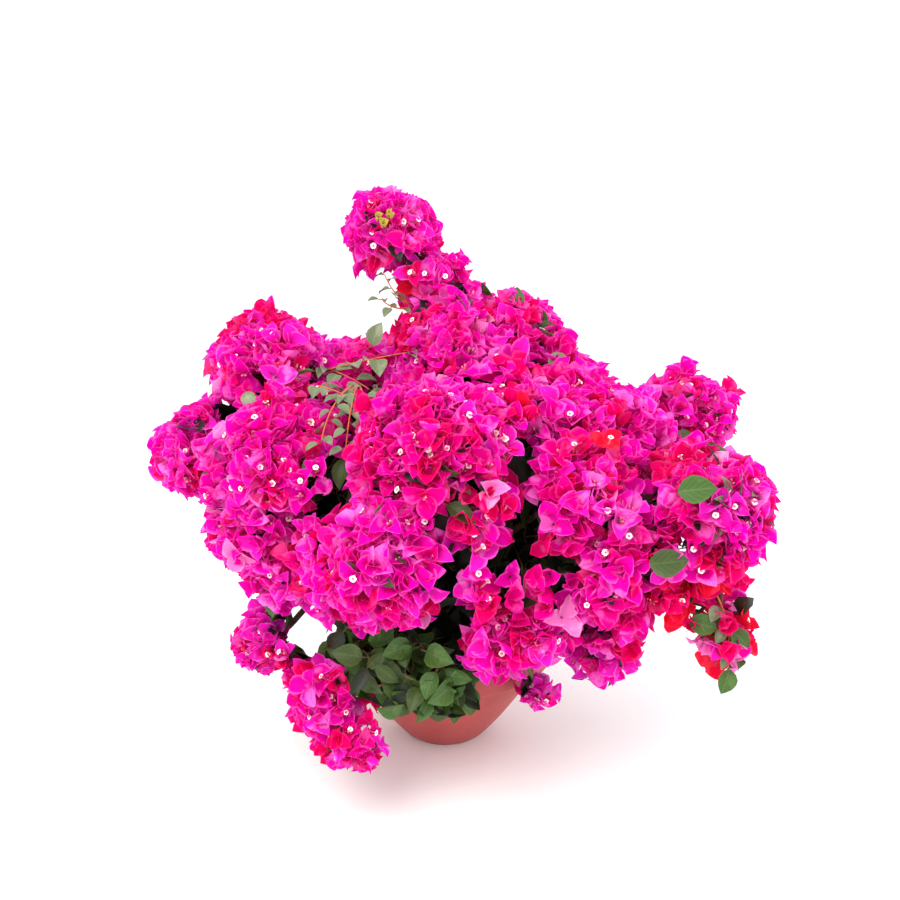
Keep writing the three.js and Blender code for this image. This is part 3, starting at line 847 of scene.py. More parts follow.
def makeBlade(shape, ripple, step):
    halfWidths, rises, fold, sweep = shape
    halfWidths, rises, rows = halfWidths[::step], rises[::step], bladeGrid["rows"][::step]
    across, along = bladeGrid["across"] // step, bladeGrid["along"] // step
    blade = startPiece(bpy.ops.mesh.primitive_grid_add, x_subdivisions=across, y_subdivisions=along, size=1,
                       location=(0, 0.5, 0))
    settle(blade)
    startEditing(blade)
    for column, share in ((0.5, 1.0), (0.25, bladeGrid["innerFold"])):  # the sides fold up from the midrib
        pickCorners(blade, lambda co: abs(abs(co.x) - column) < 0.01)
        bpy.ops.transform.translate(value=(0, 0, fold * share))
    for row, (place, halfWidth, rise) in enumerate(zip(rows, halfWidths, rises)):
        y, middle = row / along, sweep * place ** 2
        pickCorners(blade, lambda co: abs(co.y - y) < 0.01)
        scale = (2 * halfWidth, 1, bladeGrid["flatten"] * halfWidth)
        bpy.ops.transform.resize(value=scale, center_override=(0, y, 0))
        bpy.ops.transform.translate(value=(middle, place - y, rise))
        if 0 < row < along - 1:  # the margins ripple
            side, margin = (1 if row % 2 else -1), 0.9 * halfWidth
            pickCorners(blade, lambda co: abs(co.y - place) < 0.01 and side * (co.x - middle) > margin)
            bpy.ops.transform.translate(value=(0, 0, ripple))
    stopEditing()
    return takeTemplate(blade)


def makeStar():  # the open corolla: five lobes round a sunk throat
    star = startPiece(bpy.ops.mesh.primitive_circle_add, vertices=20, radius=0.5, fill_type="TRIFAN")

    def rimPlace(co):  # which quarter of a lobe a rim corner ends
        return round(math.atan2(co.y, co.x) / (math.pi / 10)) % 4 if co.length > 0.4 else None
    startEditing(star)
    pickCorners(star, lambda co: rimPlace(co) == 2)
    bpy.ops.transform.resize(value=(0.86, 0.86, 1), center_override=(0, 0, 0))
    for test, drop in ((lambda co: rimPlace(co) == 0, 0.07), (lambda co: co.length < 0.1, 0.16)):
        pickCorners(star, test)
        bpy.ops.transform.translate(value=(0, 0, -drop))
    stopEditing()
    return takeTemplate(star)


def makeThroat():  # the green middle of an open corolla
    throat = startPiece(bpy.ops.mesh.primitive_circle_add, vertices=6, radius=0.11, fill_type="TRIFAN",
                        location=(0, 0, -0.08))
    settle(throat)
    startEditing(throat)
    pickCorners(throat, lambda co: math.hypot(co.x, co.y) < 0.05)
    bpy.ops.transform.translate(value=(0, 0, 0.06))
    stopEditing()
    return takeTemplate(throat)


def makeTube(rings):  # a flower's tube, 1 long, from rings of radius and height
    tube = startPiece(bpy.ops.mesh.primitive_circle_add, vertices=5, radius=rings[0][0], fill_type="NGON")
    startEditing(tube)
    bpy.ops.mesh.select_all(action="SELECT")
    extrudeRings(rings)
    bpy.ops.mesh.select_all(action="SELECT")
    bpy.ops.mesh.normals_make_consistent(inside=False)
    bpy.ops.mesh.quads_convert_to_tris()
    stopEditing()
    return takeTemplate(tube)[:2] + (None,)


def makeBlades(shapes, ripple):  # the fine ones, and after them the coarse ones
    return [makeBlade(shape, ripple, step) for step in bladeGrid["steps"] for shape in shapes]


bractTemplates = makeBlades(bractShapes, bladeGrid["bractRipple"])
leafTemplates = makeBlades(leafShapes, bladeGrid["leafRipple"])
starTemplate, throatTemplate = makeStar(), makeThroat()
openTube = makeTube([(0.07, 0), (0.10, 0.3), (0.06, 0.6), (0.10, 1.0)])
budTube = makeTube([(0.07, 0), (0.11, 0.3), (0.08, 0.65), (0.13, 0.88), (0.03, 1.0)])
print("templates modelled")

# Twigs. The first order follows the frame's rule, and the second carries a spray to each place outside.
twigSet = {
    "perBall": 9, "reach": 0.5, "rootRadius": 1.9 * mm, "tipRadius": 1.3 * mm, "rings": 7, "sides": 5,
    "firstBow": 0.2, "firstAcute": 0.6,  # how far it bows out, and how much a way on along the stem counts
    "frameTurns": 6, "cellRoom": 3 * mm, "potRoom": 6 * mm,
    "stemPlaces": 15, "placesFrom": 0.08, "placesOver": 0.87,  # where twigs may leave a stem, as shares of it
    "hostShare": 0.85, "hostStep": 12, "hostRings": (2, 4, 6),  # where the second order may leave the first
    "fineRoot": 1.15 * mm, "fineTip": 0.75 * mm, "fineRings": 3, "bow": 0.18, "acute": 0.55,
    "finePotRoom": 12 * mm, "limbRoom": 9 * mm, "lift": 0.3, "deepest": 0.7,
    "stalk": 0.6 * mm, "stemRings": 17, "stemSides": 8,
}
bloomSet = {
    "length": 23 * mm, "shortest": 16 * mm, "ballShare": 0.5, "opening": (22, 74), "spread": 12, "lean": 0.45,
    "shells": [(21 * mm, 14.2 * mm), (32 * mm, 21 * mm)],  # each shell's depth and spacing
    "uneven": (-5 * mm, 3 * mm), "proudShare": 0.05, "proud": (4 * mm, 9 * mm), "boxRoom": 12 * mm,
    "openShare": 0.24, "budShare": 0.25, "starSize": 6.6 * mm, "tubeLength": 14 * mm, "tubeLean": 0.24,
    "leaderShare": 0.45,  # outside, the share of flowers in their spray's leading tint
    "flowerLengths": (0.86, 1.1), "bractLengths": (0.86, 1.08), "turnSpread": 0.2, "foot": 1.2 * mm,
    "endRoom": 3 * mm, "middleRoom": 6 * mm, "starSizes": (0.88, 1.1), "openTubes": (0.9, 1.15),
    "budTubes": (0.6, 0.85),
}
leafSet = {
    "length": (23 * mm, 36 * mm), "innerLength": (34 * mm, 52 * mm), "shortest": 22 * mm, "opening": (50, 88),
    "stalk": 9 * mm, "innerSpacing": 30 * mm, "innerShare": 0.6, "innerDepth": 14 * mm, "proud": 4 * mm,
    "hubFacing": -0.2, "hubTop": 500 * mm, "shadeProud": 30 * mm, "loneStalk": 14 * mm,
    "boughStalk": 12 * mm, "boughLength": (32, 48), "boughRows": range(60, 196, 17), "boughRoom": 40 * mm,
    "pairShare": 0.4, "turn": 2.4, "apart": 5 * mm, "droop": 0.12,  # of the two or three at a twig's end
    "lowest": 5 * mm, "endRoom": 3 * mm, "middleRoom": 5 * mm, "faceSpread": 0.25,
}
leafChances = {"notch": 0.5, "right_far": 0.16, "trail": 0.03, "rim_leaves": 1.0}  # on a leafy twig
usualLeafChance, bareLeafChance = 0.07, 0.01
rimLeafSet = {"length": (25 * mm, 37 * mm), "spacing": 1.35, "lowest": 122 * mm, "out": 0.15, "droop": 0.6}
shadeLimbRoom, shadeLean = 12 * mm, 0.4
shadeSets = [  # sprays of near-black leaves, painted shade, in the crown's middle, and low behind its front
    {"sprays": 1500, "centre": (10, 10, 300), "radii": (190, 185, 140), "under": 30 * mm, "room": 30 * mm},
    {"sprays": 560, "centre": (42, -50, 245), "radii": (105, 100, 85), "under": -70 * mm, "room": 13 * mm},
]
sparse = {("right_far", 1): 0.28, ("trail", 1): 0.85}  # share of sprays that a thin ball keeps
# Dark gaps between the sprays: where each starts and ends in mm, and its radius.
hollows = [
    ((84, -235, 366), (62, -60, 305), 26),
    ((48, -235, 320), (36, -60, 283), 23),
    ((2, -245, 300), (10, -110, 270), 18),
    ((14, -235, 246), (18, -100, 196), 20),
    ((7, -235, 265), (7, -60, 188), 22),
    ((-137, -240, 246), (-178, 0, 139), 30),
    ((-66, -70, 576), (-76, 80, 568), 31),
    ((46, -60, 598), (50, 60, 594), 30),
    ((169, -80, 514), (214, 200, 483), 37),
    ((212, -80, 490), (270, 200, 452), 42),
    ((-108, -50, 541), (-137, 220, 519), 43),
    ((-136, -50, 541), (-164, 150, 525), 34),
    ((-70, -50, 548), (-90, 220, 528), 37),
    ((-242, -200, 270), (-290, 0, 190), 46),
    ((123, -180, 166), (159, 100, 25), 19),
    ((226, -250, 220), (266, -100, 148), 27),
    ((216, -245, 247), (240, -100, 190), 15),
    ((253, -240, 210), (275, -100, 158), 27),
    ((-180, -170, 72), (-194, -100, 29), 34),
    ((-188, -170, 146), (-214, -50, 83), 16),
    ((361, -50, 428), (395, 50, 409), 30),
    ((-109, -235, 409), (-112, -130, 384), 19),
    ((-146, -220, 78), (-158, -150, 34), 28),
    ((-47, -220, 90), (-52, -150, 46), 25),
    ((-186, -215, 150), (-192, -130, 128), 29),
    ((-58, -240, 122), (-62, -165, 100), 16),
    ((-38, -215, 118), (-34, -150, 112), 15),
]


def clearOfHollows(points):
    clear = np.ones(len(points), bool)
    for start, end, radius in hollows:
        start, end = np.array(start) * mm, np.array(end) * mm
        along = end - start
        share = np.clip((points - start) @ along / (along @ along), 0, 1)
        clear &= np.linalg.norm(points - start - share[:, None] * along, axis=1) > radius * mm
    return clear


def rootOnStem(stem, tangents, tip):  # where a twig leaves for its tip at an acute angle
    steps = np.arange(twigSet["stemPlaces"]) / (twigSet["stemPlaces"] - 1)
    rows = np.round((twigSet["placesFrom"] + twigSet["placesOver"] * steps) * (len(stem) - 1)).astype(int)
    towards = tip - stem[rows]
    cost = np.linalg.norm(towards, axis=1) - twigSet["firstAcute"] * (towards * tangents[rows]).sum(1)
    return rows[int(np.argmin(cost))]


def shellPoints(count):
    k = np.arange(count)
    height = 1 - 2 * (k + 0.5) / count
    ring = np.sqrt(1 - height ** 2)
    turn = k * goldenAngle + rng.random() * 6
    out = np.stack([ring * np.cos(turn), ring * np.sin(turn), height], axis=1)
    return unit(out + rng.normal(scale=0.5 / math.sqrt(count), size=out.shape))


limbPoints = np.concatenate([curve[::8] for curve in limbCurves.values()])


def clearOfLimbs(points, room):
    gaps = np.linalg.norm(points[:, None] - limbPoints[None], axis=2).min(1)
    return gaps > room


stems, firstTwigs, tips = [], [], []
tipKeys = ("point", "out", "axis", "root", "heading", "spray", "leafy", "inside", "shell", "mass", "length")


def addTip(*values):  # the end of a fine twig, which bears a flower or leaves
    tips.append(dict(zip(tipKeys, values)))


def growBall(name, mass, which, ball, draw):
    centre, radius = mass["balls"][which]
    stem = mass["stem"]
    tangents = unit(np.gradient(stem, axis=0))
    hosts = []  # place, tangent, leafy, spray number
    near = np.linalg.norm(stem - centre, axis=1) < twigSet["hostShare"] * radius
    for row in np.flatnonzero(near)[::twigSet["hostStep"]]:
        hosts.append((stem[row], tangents[row], mass["leafy"] > 0.5, len(firstTwigs)))
    for k in range(twigSet["perBall"]):
        height = 1 - 2 * (k + 0.5) / twigSet["perBall"]
        ring = math.sqrt(1 - height * height)
        turn = k * goldenAngle + draw() * 0.5
        out = np.array([ring * math.cos(turn), ring * math.sin(turn), height])
        leafy = draw() < mass["leafy"]
        for _ in range(twigSet["frameTurns"]):  # the frame tries a sprig at as many turns
            draw()
        tip = centre + out * radius * twigSet["reach"]
        if depthInside(ball, tip)[0] < twigSet["cellRoom"] or not clearOfPot(tip, twigSet["potRoom"]):
            continue
        row = rootOnStem(stem, tangents, tip)
        bow = twigSet["firstBow"] * np.linalg.norm(tip - stem[row])
        bend = (stem[row] + tip) / 2 + tangents[row] * bow
        path = quadratic(stem[row], bend, tip, twigSet["rings"] - 1)
        heading = unit(np.gradient(path, axis=0))
        for ringNumber in twigSet["hostRings"]:
            hosts.append((path[ringNumber], heading[ringNumber], leafy, len(firstTwigs)))
        firstTwigs.append(path)
    growFine(name, mass, which, ball, hosts)


def canopyPoints(ball, spacing, under):  # places a little under the crown's surface, with the way out
    centre, radius = ballCentres[ball], ballRadii[ball]
    outs = shellPoints(max(6, int(4 * math.pi * (radius + canopySet["dealtOut"]) ** 2 / spacing ** 2)))
    reaches = np.linspace(canopySet["nearest"] * radius, radius + canopySet["furthest"], canopySet["steps"])
    heights = canopyHeight(centre + outs[:, None] * reaches[:, None])
    crossed = (heights[:, :-1] < 0) & (heights[:, 1:] >= 0)
    found = crossed.any(1)
    step = crossed.argmax(1)
    rows = np.arange(len(outs))
    low, high = heights[rows, step], heights[rows, step + 1]
    reach = reaches[step] + (reaches[step + 1] - reaches[step]) * (0 - low) / np.where(found, high - low, 1)
    surface = centre + outs * reach[:, None]
    normals = canopyNormal(surface)
    points = surface - normals * under
    keep = found & (cellDepth(ball, surface) > 0)
    return points[keep], normals[keep]


def innerPoints(ball, spacing, share):
    centre, radius = ballCentres[ball], ballRadii[ball]
    outs = shellPoints(max(5, int(4 * math.pi * (share * radius) ** 2 / spacing ** 2)))
    points = centre + outs * radius * share
    keep = cellDepth(ball, points) > twigSet["cellRoom"]
    return points[keep], outs[keep]


def growFine(name, mass, which, ball, hosts):
    centre, radius = mass["balls"][which]
    length = min(max(bloomSet["ballShare"] * radius, bloomSet["shortest"]), bloomSet["length"])
    fromHub = unit(centre - np.array([0, 0, limbSet["hubHeight"]]))
    places = np.array([host[0] for host in hosts])
    headings = np.array([host[1] for host in hosts])
    keep = sparse.get((name, which), 1.0)
    dense = rimLeafSet["spacing"] if mass["leafy"] == 1 else 1.0
    small = length / bloomSet["length"]
    shells = [canopyPoints(ball, spacing * dense, min(under * small, twigSet["deepest"] * radius))
              for under, spacing in bloomSet["shells"]]
    if name != "trail":
        shells.append(innerPoints(ball, leafSet["innerSpacing"], leafSet["innerShare"]))
    for shell, (points, outs) in enumerate(shells):
        if shell == 0:
            count = len(points)
            proud = (rng.random(count) < bloomSet["proudShare"]) * rng.uniform(*bloomSet["proud"], count)
            points = points + outs * (proud + rng.uniform(*bloomSet["uneven"], count))[:, None]
        fits = clearOfPot(points, twigSet["finePotRoom"]) & clearOfLimbs(points, twigSet["limbRoom"])
        fits &= clearOfHollows(points) & (rng.random(len(points)) < keep)
        for point, out in zip(points[fits], outs[fits]):
            towards = point - places
            cost = np.linalg.norm(towards, axis=1) - twigSet["acute"] * (towards * headings).sum(1)
            root, heading, onLeafy, spray = hosts[int(np.argmin(cost))]
            facing = float(np.dot(out, fromHub))
            inside = name != "trail" and facing < leafSet["hubFacing"] and point[2] < leafSet["hubTop"]
            leafChance = leafChances.get(name, usualLeafChance) if onLeafy else bareLeafChance
            leafy = shell == 2 or inside or rng.random() < leafChance
            axis = unit(out + twigSet["lift"] * up + rng.normal(scale=bloomSet["lean"], size=3))
            inside = inside or shell == 2
            addTip(point, out, axis, root, heading, spray, leafy, inside, shell, name, length)


def growShade(shade):  # dark leaves on fine twigs fill the middle of the crown, mostly in the shade tint as painted shade
    shares = unit(rng.normal(size=(shade["sprays"], 3))) * rng.random((shade["sprays"], 1)) ** (1 / 3)
    points = (np.array(shade["centre"]) + shares * np.array(shade["radii"])) * mm
    fits = (canopyHeight(points) < -shade["under"]) & clearOfPot(points, shade["room"])
    fits &= clearOfLimbs(points, shadeLimbRoom)
    for point in points[fits]:
        root = limbPoints[int(np.argmin(np.linalg.norm(limbPoints - point, axis=1)))]
        out = unit(point - root)
        axis = unit(out + rng.normal(scale=shadeLean, size=3))
        addTip(point, out, axis, root, axis, 0, True, True, 2, "shade", bloomSet["length"])


ballNumber = 0
for index, (name, mass) in enumerate(masses.items()):
    draw = seeded(100 + 37 * index)
    stems.append(mass["stem"][::twigSet["hostStep"]])
    for which in range(len(mass["balls"])):
        growBall(name, mass, which, ballNumber, draw)
        ballNumber += 1
for shade in shadeSets:
    growShade(shade)
print("first twigs:", len(firstTwigs), "sprays:", len(tips))

# Young shoots that stand out of the leafy dip: from, bend, to, and the number and length of leaves, in mm.
youngShoots = [
    ((-203, -28, 455), (-139, -56, 488), (-27, -63, 506), 11, 27),
    ((-190, 0, 470), (-145, -45, 498), (-84, -92, 466), 9, 23),
    ((-100, -105, 472), (-118, -168, 468), (-127, -176, 424), 8, 18),
    ((-96, -105, 470), (-96, -172, 466), (-101, -180, 419), 8, 18),
    ((-92, -105, 470), (-80, -168, 462), (-72, -172, 430), 7, 17),
    ((-150, -95, 470), (-128, -120, 476), (-96, -140, 462), 8, 22),
    ((262, -215, 300), (296, -238, 262), (298, -220, 190), 7, 20),
    ((-38, -30, 556), (-56, -48, 562), (-68, -42, 590), 6, 16),
    ((-38, -30, 552), (-58, -46, 548), (-72, -40, 562), 5, 14),
]
shootSet = {
    "root": 1.3 * mm, "tip": 0.6 * mm, "rings": 14, "firstLeaf": 3, "stalk": 4 * mm,
    "spread": 0.3, "forward": 0.5, "droop": 0.25, "lengths": (0.8, 1.15),
}
# Single leaves in full view: foot in mm, the way it points, length in mm and tint.
loneLeaves = [
    ((-2, -158, 136), (-0.25, -0.25, -1), 34, "deep"), ((24, -156, 138), (0.2, -0.25, -1), 36, "deep"),
    ((11, -162, 126), (0.05, -0.3, -1), 30, "deep"), ((-40, -160, 150), (-0.3, -0.3, -1), 30, "dark"),
    ((218, -284, 401), (1, -0.1, 0.12), 36, "deep"), ((196, -280, 329), (1, -0.1, 0.1), 37, "dark"),
    ((250, -235, 250), (1, -0.1, -0.25), 30, "deep"), ((296, -228, 238), (0.7, -0.2, -0.7), 26, "deep"),
    ((298, -224, 192), (-0.3, -0.2, -1), 28, "deep"), ((127, -50, 502), (0.3, -0.4, -1), 31, "grey_green"),
    ((-214, -128, 468), (0.5, -0.4, -0.8), 22, "grey_green"),
    ((-104, -165, 404), (-0.2, -0.5, -1), 34, "dark"), ((-84, -40, 510), (0.4, -0.1, 0.9), 28, "grey_green"),
    ((-128, -160, 402), (-0.9, -0.4, -0.6), 30, "grey_green"),
    ((-90, -170, 396), (0.5, -0.5, -0.8), 26, "deep"),
]


def bladeAxes(directions, faces):  # the blade's X, Y and Z axes from where it runs and roughly faces
    axesY = unit(directions)
    axesZ = unit(faces - axesY * (faces * axesY).sum(-1, keepdims=True))
    return np.cross(axesY, axesZ), axesY, axesZ


def newBlades(*more):
    return {key: [] for key in ("foot", "direction", "face", "size", "tint", "coarse", *more)}


def addBlade(blades, *values):
    for key, value in zip(blades, values):
        blades[key].append(value)


def addLeaf(leaves, foot, direction, face, size, tint, stalkFrom, coarse=False):
    addBlade(leaves, foot, direction, face, size, tint, coarse, np.stack([stalkFrom, foot]))


def between(first, second, turn):  # a direction turned from the first towards the second, square to it
    return first * math.cos(turn) + second * math.sin(turn)


def leafTint(tip):
    # Rim leaves in part, and leaves inside the crown mostly, take the near-black shade tint: painted shade.
    if tip["mass"] == "rim_leaves":
        return rng.choice(["deep", "dark", "shade"], p=[0.36, 0.44, 0.2])
    if tip["inside"]:
        return rng.choice(["shade", "dark"], p=[0.85, 0.15])
    shares = [0.7, 0.15, 0.15] if tip["mass"] == "notch" else [0.3, 0.4, 0.3]
    return rng.choice(["grey_green", "deep", "dark"], p=shares)


def growTwigLeaves(leaves, tip):  # two or three at the end of a twig
    first, second = acrossAxes(tip["axis"][None])
    turn = rng.random() * 6
    overRim = tip["mass"] == "rim_leaves" and tip["shell"] < 2
    count = 2 if overRim or tip["inside"] or rng.random() < leafSet["pairShare"] else 3
    furthest = -leafSet["innerDepth"] if tip["inside"] else leafSet["proud"]
    if tip["mass"] == "shade":
        furthest = leafSet["shadeProud"]
    lengths = rimLeafSet["length"] if overRim else leafSet["innerLength" if tip["inside"] else "length"]
    low = (rimLeafSet if overRim else leafSet)["lowest"]
    for k in range(count):
        opening = math.radians(rng.uniform(*leafSet["opening"]))
        spoke = between(first[0], second[0], turn + k * leafSet["turn"])
        direction = unit(between(tip["axis"], spoke, opening) - leafSet["droop"] * up)
        if overRim:
            direction = unit(rimLeafSet["out"] * tip["out"] + spoke - rimLeafSet["droop"] * up)
        stalkFrom = tip["point"] - tip["axis"] * leafSet["apart"] * k
        foot = stalkFrom + direction * leafSet["stalk"]
        size = rng.uniform(*lengths)
        end = foot + direction * size
        beyond = float(canopyHeight(end)) - furthest
        if beyond > 0 and not overRim:
            size = size - beyond
            end = foot + direction * size
        clear = clearOfPot(end, leafSet["endRoom"]) and clearOfPot((foot + end) / 2, leafSet["middleRoom"])
        if size < leafSet["shortest"] or end[2] < low or not clear or not clearOfHollows(end[None])[0]:
            continue
        face = 0.4 * up + tip["out"] if overRim else 0.7 * up + 0.6 * tip["out"]
        face = face + rng.normal(scale=leafSet["faceSpread"], size=3)
        coarse = tip["inside"] and not overRim
        addLeaf(leaves, foot, direction, face, size, leafTint(tip), stalkFrom, coarse)


def growBoughLeaves(leaves, curve):  # a few along a bough
    tangents, sideways, across = framesAlong(curve)
    for k, row in enumerate(leafSet["boughRows"]):
        spoke = between(sideways[row], across[row], k * goldenAngle)
        direction = unit(spoke + 0.5 * tangents[row])
        foot = curve[row] + direction * leafSet["boughStalk"]
        if clearOfPot(foot + direction * leafSet["boughRoom"], 4 * mm):
            size = rng.uniform(*leafSet["boughLength"]) * mm
            # Leaves along the boughs, inside the crown, take the shade tint: painted shade.
            addLeaf(leaves, foot, direction, up + 0.3 * spoke, size, "shade", curve[row])


def growShoot(leaves, start, bend, end, count, length):
    path = quadratic(*(np.array(place) * mm for place in (start, bend, end)), shootSet["rings"] - 1)
    tangents, sideways, across = framesAlong(path)
    firstRow = shootSet["firstLeaf"]
    for k in range(count):
        row = firstRow + round(k * (shootSet["rings"] - 1 - firstRow) / (count - 1))
        side = sideways[row] * (1 if k % 2 else -1) + shootSet["spread"] * rng.normal(size=3)
        direction = unit(side + shootSet["forward"] * tangents[row] - shootSet["droop"] * up)
        size = length * rng.uniform(*shootSet["lengths"]) * mm
        foot = path[row] + direction * shootSet["stalk"]
        addLeaf(leaves, foot, direction, np.array([0, -0.5, 1]), size, "grey_green", path[row])
    return path


def growLeaves():
    leaves = newBlades("stalk")
    for tip in tips:
        if tip["leafy"]:
            growTwigLeaves(leaves, tip)
    for name in masses:
        growBoughLeaves(leaves, limbCurves[name])
    shoots = [growShoot(leaves, *shoot) for shoot in youngShoots]
    for foot, direction, length, tint in loneLeaves:
        foot, direction = np.array(foot) * mm, unit(direction)
        nearest = limbPoints[int(np.argmin(np.linalg.norm(limbPoints - foot, axis=1)))]
        face = np.array([0, -1, 0.45]) + rng.normal(scale=0.15, size=3)
        stalkFrom = foot + leafSet["loneStalk"] * unit(nearest - foot)
        addLeaf(leaves, foot, direction, face, length * mm, tint, stalkFrom)
    return leaves, np.array(shoots)


# Flowers. Each spray has a leading tint, and each flower takes that or another by chance.
tintShares = {  # a spray's leader, outside, inside; inside, more crimson and deep pink and less orchid, as painted shade
    "magenta": (0.36, 0.32, 0.27), "deep_pink": (0.26, 0.27, 0.34), "orchid": (0.28, 0.24, 0.07),
    "crimson": (0.10, 0.13, 0.30), "pale_pink": (0.0, 0.03, 0.0), "coral": (0.0, 0.01, 0.02),
}
tintNames = list(tintShares)
sprayTints = rng.choice(tintNames, size=len(firstTwigs) + 1, p=[share[0] for share in tintShares.values()])
strayTints = [  # flowers of another tint: place and radius in mm, share and tint
    ((249, -235, 284), 38, 0.7, "coral"), ((249, -235, 284), 56, 0.6, "crimson"),
    # A paler orchid tint on the low bloom by the pot's rim: painted light on a bloom shaded by the crown.
    ((107, -127, 119), 30, 0.7, "orchid"),
    ((292, -200, 205), 42, 0.45, "coral"), ((292, -200, 205), 42, 0.3, "pale_pink"),
    # Pale pink spots at the front and top: partly faded bracts, partly painted highlight.
    ((51, -235, 397), 15, 1.0, "pale_pink"), ((-52, -48, 668), 13, 1.0, "pale_pink"),
]


def flowerTint(tip):
    for place, radius, share, tint in strayTints:
        if np.linalg.norm(tip["point"] - np.array(place) * mm) < radius * mm and rng.random() < share:
            return tint
    if tip["shell"] == 0 and rng.random() < bloomSet["leaderShare"]:
        return sprayTints[tip["spray"]]
    # Flowers in the deeper shell take the inside shares, redder and deeper: painted shade.
    return rng.choice(tintNames, p=[share[1 + min(tip["shell"], 1)] for share in tintShares.values()])


lowCorner = np.array(cadBox[0]) - bloomSet["boxRoom"]
highCorner = np.array(cadBox[1]) + bloomSet["boxRoom"]


def openBract(axis, spoke, wide):  # where a bract runs and faces, opened from its flower's axis
    return between(axis, spoke, wide), axis * math.sin(wide) - spoke * math.cos(wide)


def growBracts(tip, first, second, turn, length):  # three, or fewer where one would leave its room
    opening = rng.uniform(*bloomSet["opening"])
    length = length * rng.uniform(*bloomSet["flowerLengths"])
    tint = flowerTint(tip)
    made = []
    for k in range(3):
        turned = turn + k * 2 * math.pi / 3 + rng.normal(scale=bloomSet["turnSpread"])
        spoke = between(first, second, turned)
        wide = math.radians(opening + rng.normal(scale=bloomSet["spread"]))
        direction, face = openBract(tip["axis"], spoke, wide)
        foot = tip["point"] + spoke * bloomSet["foot"]
        size = length * rng.uniform(*bloomSet["bractLengths"])
        end = foot + direction * size
        inBox = (end > lowCorner).all() and (end < highCorner).all()
        clear = clearOfPot(end, bloomSet["endRoom"]) and clearOfPot((foot + end) / 2, bloomSet["middleRoom"])
        if not (inBox and clear):
            break
        made.append((foot, direction, face, size, tint, tip["shell"] > 0))
    return made, length


def growFlowers():
    bracts, flowers = newBlades(), []
    for tip in tips:
        if tip["leafy"]:
            continue
        first, second = (axes[0] for axes in acrossAxes(tip["axis"][None]))
        turn = rng.random() * 6
        made, length = growBracts(tip, first, second, turn, tip["length"])
        if len(made) == 3:
            tip["blooms"] = True
            for bract in made:
                addBlade(bracts, *bract)
            flowers.append((tip, turn, first, second, length))
    addGreenBuds(bracts)
    return bracts, flowers


budSet = {
    "places": [(-68, -47, 646), (-60, -48, 655), (-74, -46, 652)],
    "length": (9 * mm, 13 * mm), "opening": 26, "foot": 4 * mm,
}


def addGreenBuds(bracts):  # young flowers on the tall spray, not yet coloured
    wide = math.radians(budSet["opening"])
    for place in budSet["places"]:
        axis = unit(np.array([0.1, -0.8, 0.6]) + rng.normal(scale=0.25, size=3))
        first, second = acrossAxes(axis[None])
        foot = np.array(place) * mm - axis * budSet["foot"]
        for k in range(3):
            direction, face = openBract(axis, between(first[0], second[0], k * 2.1), wide)
            addBlade(bracts, foot, direction, face, rng.uniform(*budSet["length"]), "bud_green", False)


def bladePieces(blades, templates, materials, prefix):
    feet = np.array(blades["foot"])
    axesX, axesY, axesZ = bladeAxes(np.array(blades["direction"]), np.array(blades["face"]))
    sizes, tints = np.array(blades["size"]), np.array(blades["tint"])
    shapes = len(templates) // 2
    kinds = rng.integers(shapes, size=len(feet)) + shapes * np.array(blades["coarse"])
    triangles = np.array([2 * len(template[1]) for template in templates])[kinds]
    for tint, material in materials.items():
        chosen = np.flatnonzero(tints == tint)
        count = math.ceil(triangles[chosen].sum() / bladeGrid["largestPiece"])
        for number in range(count):  # sprays dealt out so that no piece grows too large
            dealt, parts = chosen[number::count], []
            for kind, template in enumerate(templates):
                rows = dealt[kinds[dealt] == kind]
                if len(rows):
                    axes = (axesX[rows], axesY[rows], axesZ[rows])
                    parts.append(scatter(template, feet[rows], *axes, sizes[rows]))
            name = prefix + tint + ("_" + str(number + 1) if count > 1 else "")
            dressArrays(parts, name, material)


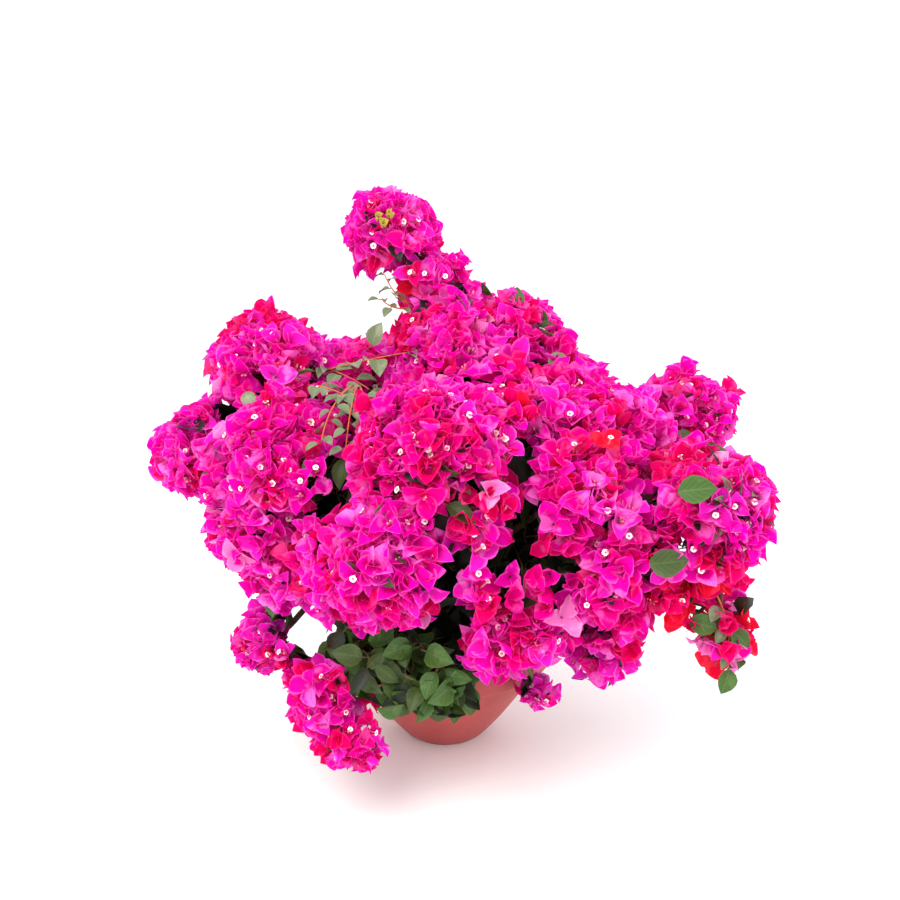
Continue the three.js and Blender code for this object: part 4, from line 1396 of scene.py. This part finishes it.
def flowerPieces(flowers):
    stars, openTubes, buds = [], [], []  # foot, axis, length
    for tip, turn, first, second, length in flowers:
        if tip["shell"] > 0:
            continue
        isOpen = rng.random() < bloomSet["openShare"]
        hasBuds = rng.random() < bloomSet["budShare"]
        for k in range(3):
            spoke = between(first, second, turn + (k + 0.5) * 2 * math.pi / 3)
            lean = unit(tip["axis"] + bloomSet["tubeLean"] * spoke)
            if k == 0 and isOpen:
                tubeLength = bloomSet["tubeLength"] * rng.uniform(*bloomSet["openTubes"])
                tubeLength = tubeLength * length / bloomSet["length"]
                openTubes.append((tip["point"], lean, tubeLength))
                starSize = bloomSet["starSize"] * rng.uniform(*bloomSet["starSizes"])
                stars.append((tip["point"] + lean * tubeLength, lean, starSize))
            elif k and hasBuds:
                budLength = bloomSet["tubeLength"] * rng.uniform(*bloomSet["budTubes"])
                buds.append((tip["point"], lean, budLength))
    dressArrays([placeUpright(stars, starTemplate)], "open_corollas", corollaWax)
    dressArrays([placeUpright(stars, throatTemplate)], "flower_throats", throatFlesh)
    tubeParts = [placeUpright(openTubes, openTube), placeUpright(buds, budTube)]
    dressArrays(tubeParts, "flower_tubes", tubeFlesh)


def placeUpright(items, template):
    places, axesZ, sizes = (np.array(column) for column in zip(*items))
    axesX, axesY = acrossAxes(axesZ)
    return scatter(template, places, axesX, axesY, axesZ, sizes)


def twigPieces(stalks, shoots):
    stemRings, stemSides, sides = (twigSet[key] for key in ("stemRings", "stemSides", "sides"))
    stemPaths = np.array([alongCurve(stem, np.linspace(0, 1, stemRings)) for stem in stems])
    stemRadii = np.linspace(limbSet["boughTip"], limbSet["stemTip"], stemRings)
    firstRadii = np.linspace(twigSet["rootRadius"], twigSet["tipRadius"], twigSet["rings"])
    firstParts = [tubes(stemPaths, stemRadii, stemSides), tubes(np.array(firstTwigs), firstRadii, sides)]
    dressArrays(firstParts, "stems_and_twigs", youngBark)
    grown = [tip for tip in tips if tip["leafy"] or tip.get("blooms")]
    roots, ends, headings, axes = (np.array([tip[key] for tip in grown])[:, None]
                                   for key in ("root", "point", "heading", "axis"))
    spans = np.linalg.norm(ends - roots, axis=-1, keepdims=True)
    bends = (roots + ends) / 2 + twigSet["bow"] * spans * (headings - axes)
    finePaths = quadratic(roots, bends, ends, twigSet["fineRings"] - 1)
    fineRadii = np.linspace(twigSet["fineRoot"], twigSet["fineTip"], twigSet["fineRings"])
    fineParts = [tubes(finePaths, fineRadii, 3), tubes(np.array(stalks), twigSet["stalk"], 3)]
    dressArrays(fineParts, "fine_twigs", youngBark)
    shootRadii = np.linspace(shootSet["root"], shootSet["tip"], shootSet["rings"])
    dressArrays([tubes(shoots, shootRadii, 6)], "young_shoots", shootRind)


leaves, shoots = growLeaves()
bracts, flowers = growFlowers()
print("leaves:", len(leaves["foot"]), "bracts:", len(bracts["foot"]), "flowers:", len(flowers))
bladePieces(bracts, bractTemplates, bractMaterials, "bracts_")
bladePieces(leaves, leafTemplates, leafMaterials, "leaves_")
flowerPieces(flowers)
twigPieces(leaves["stalk"], shoots)
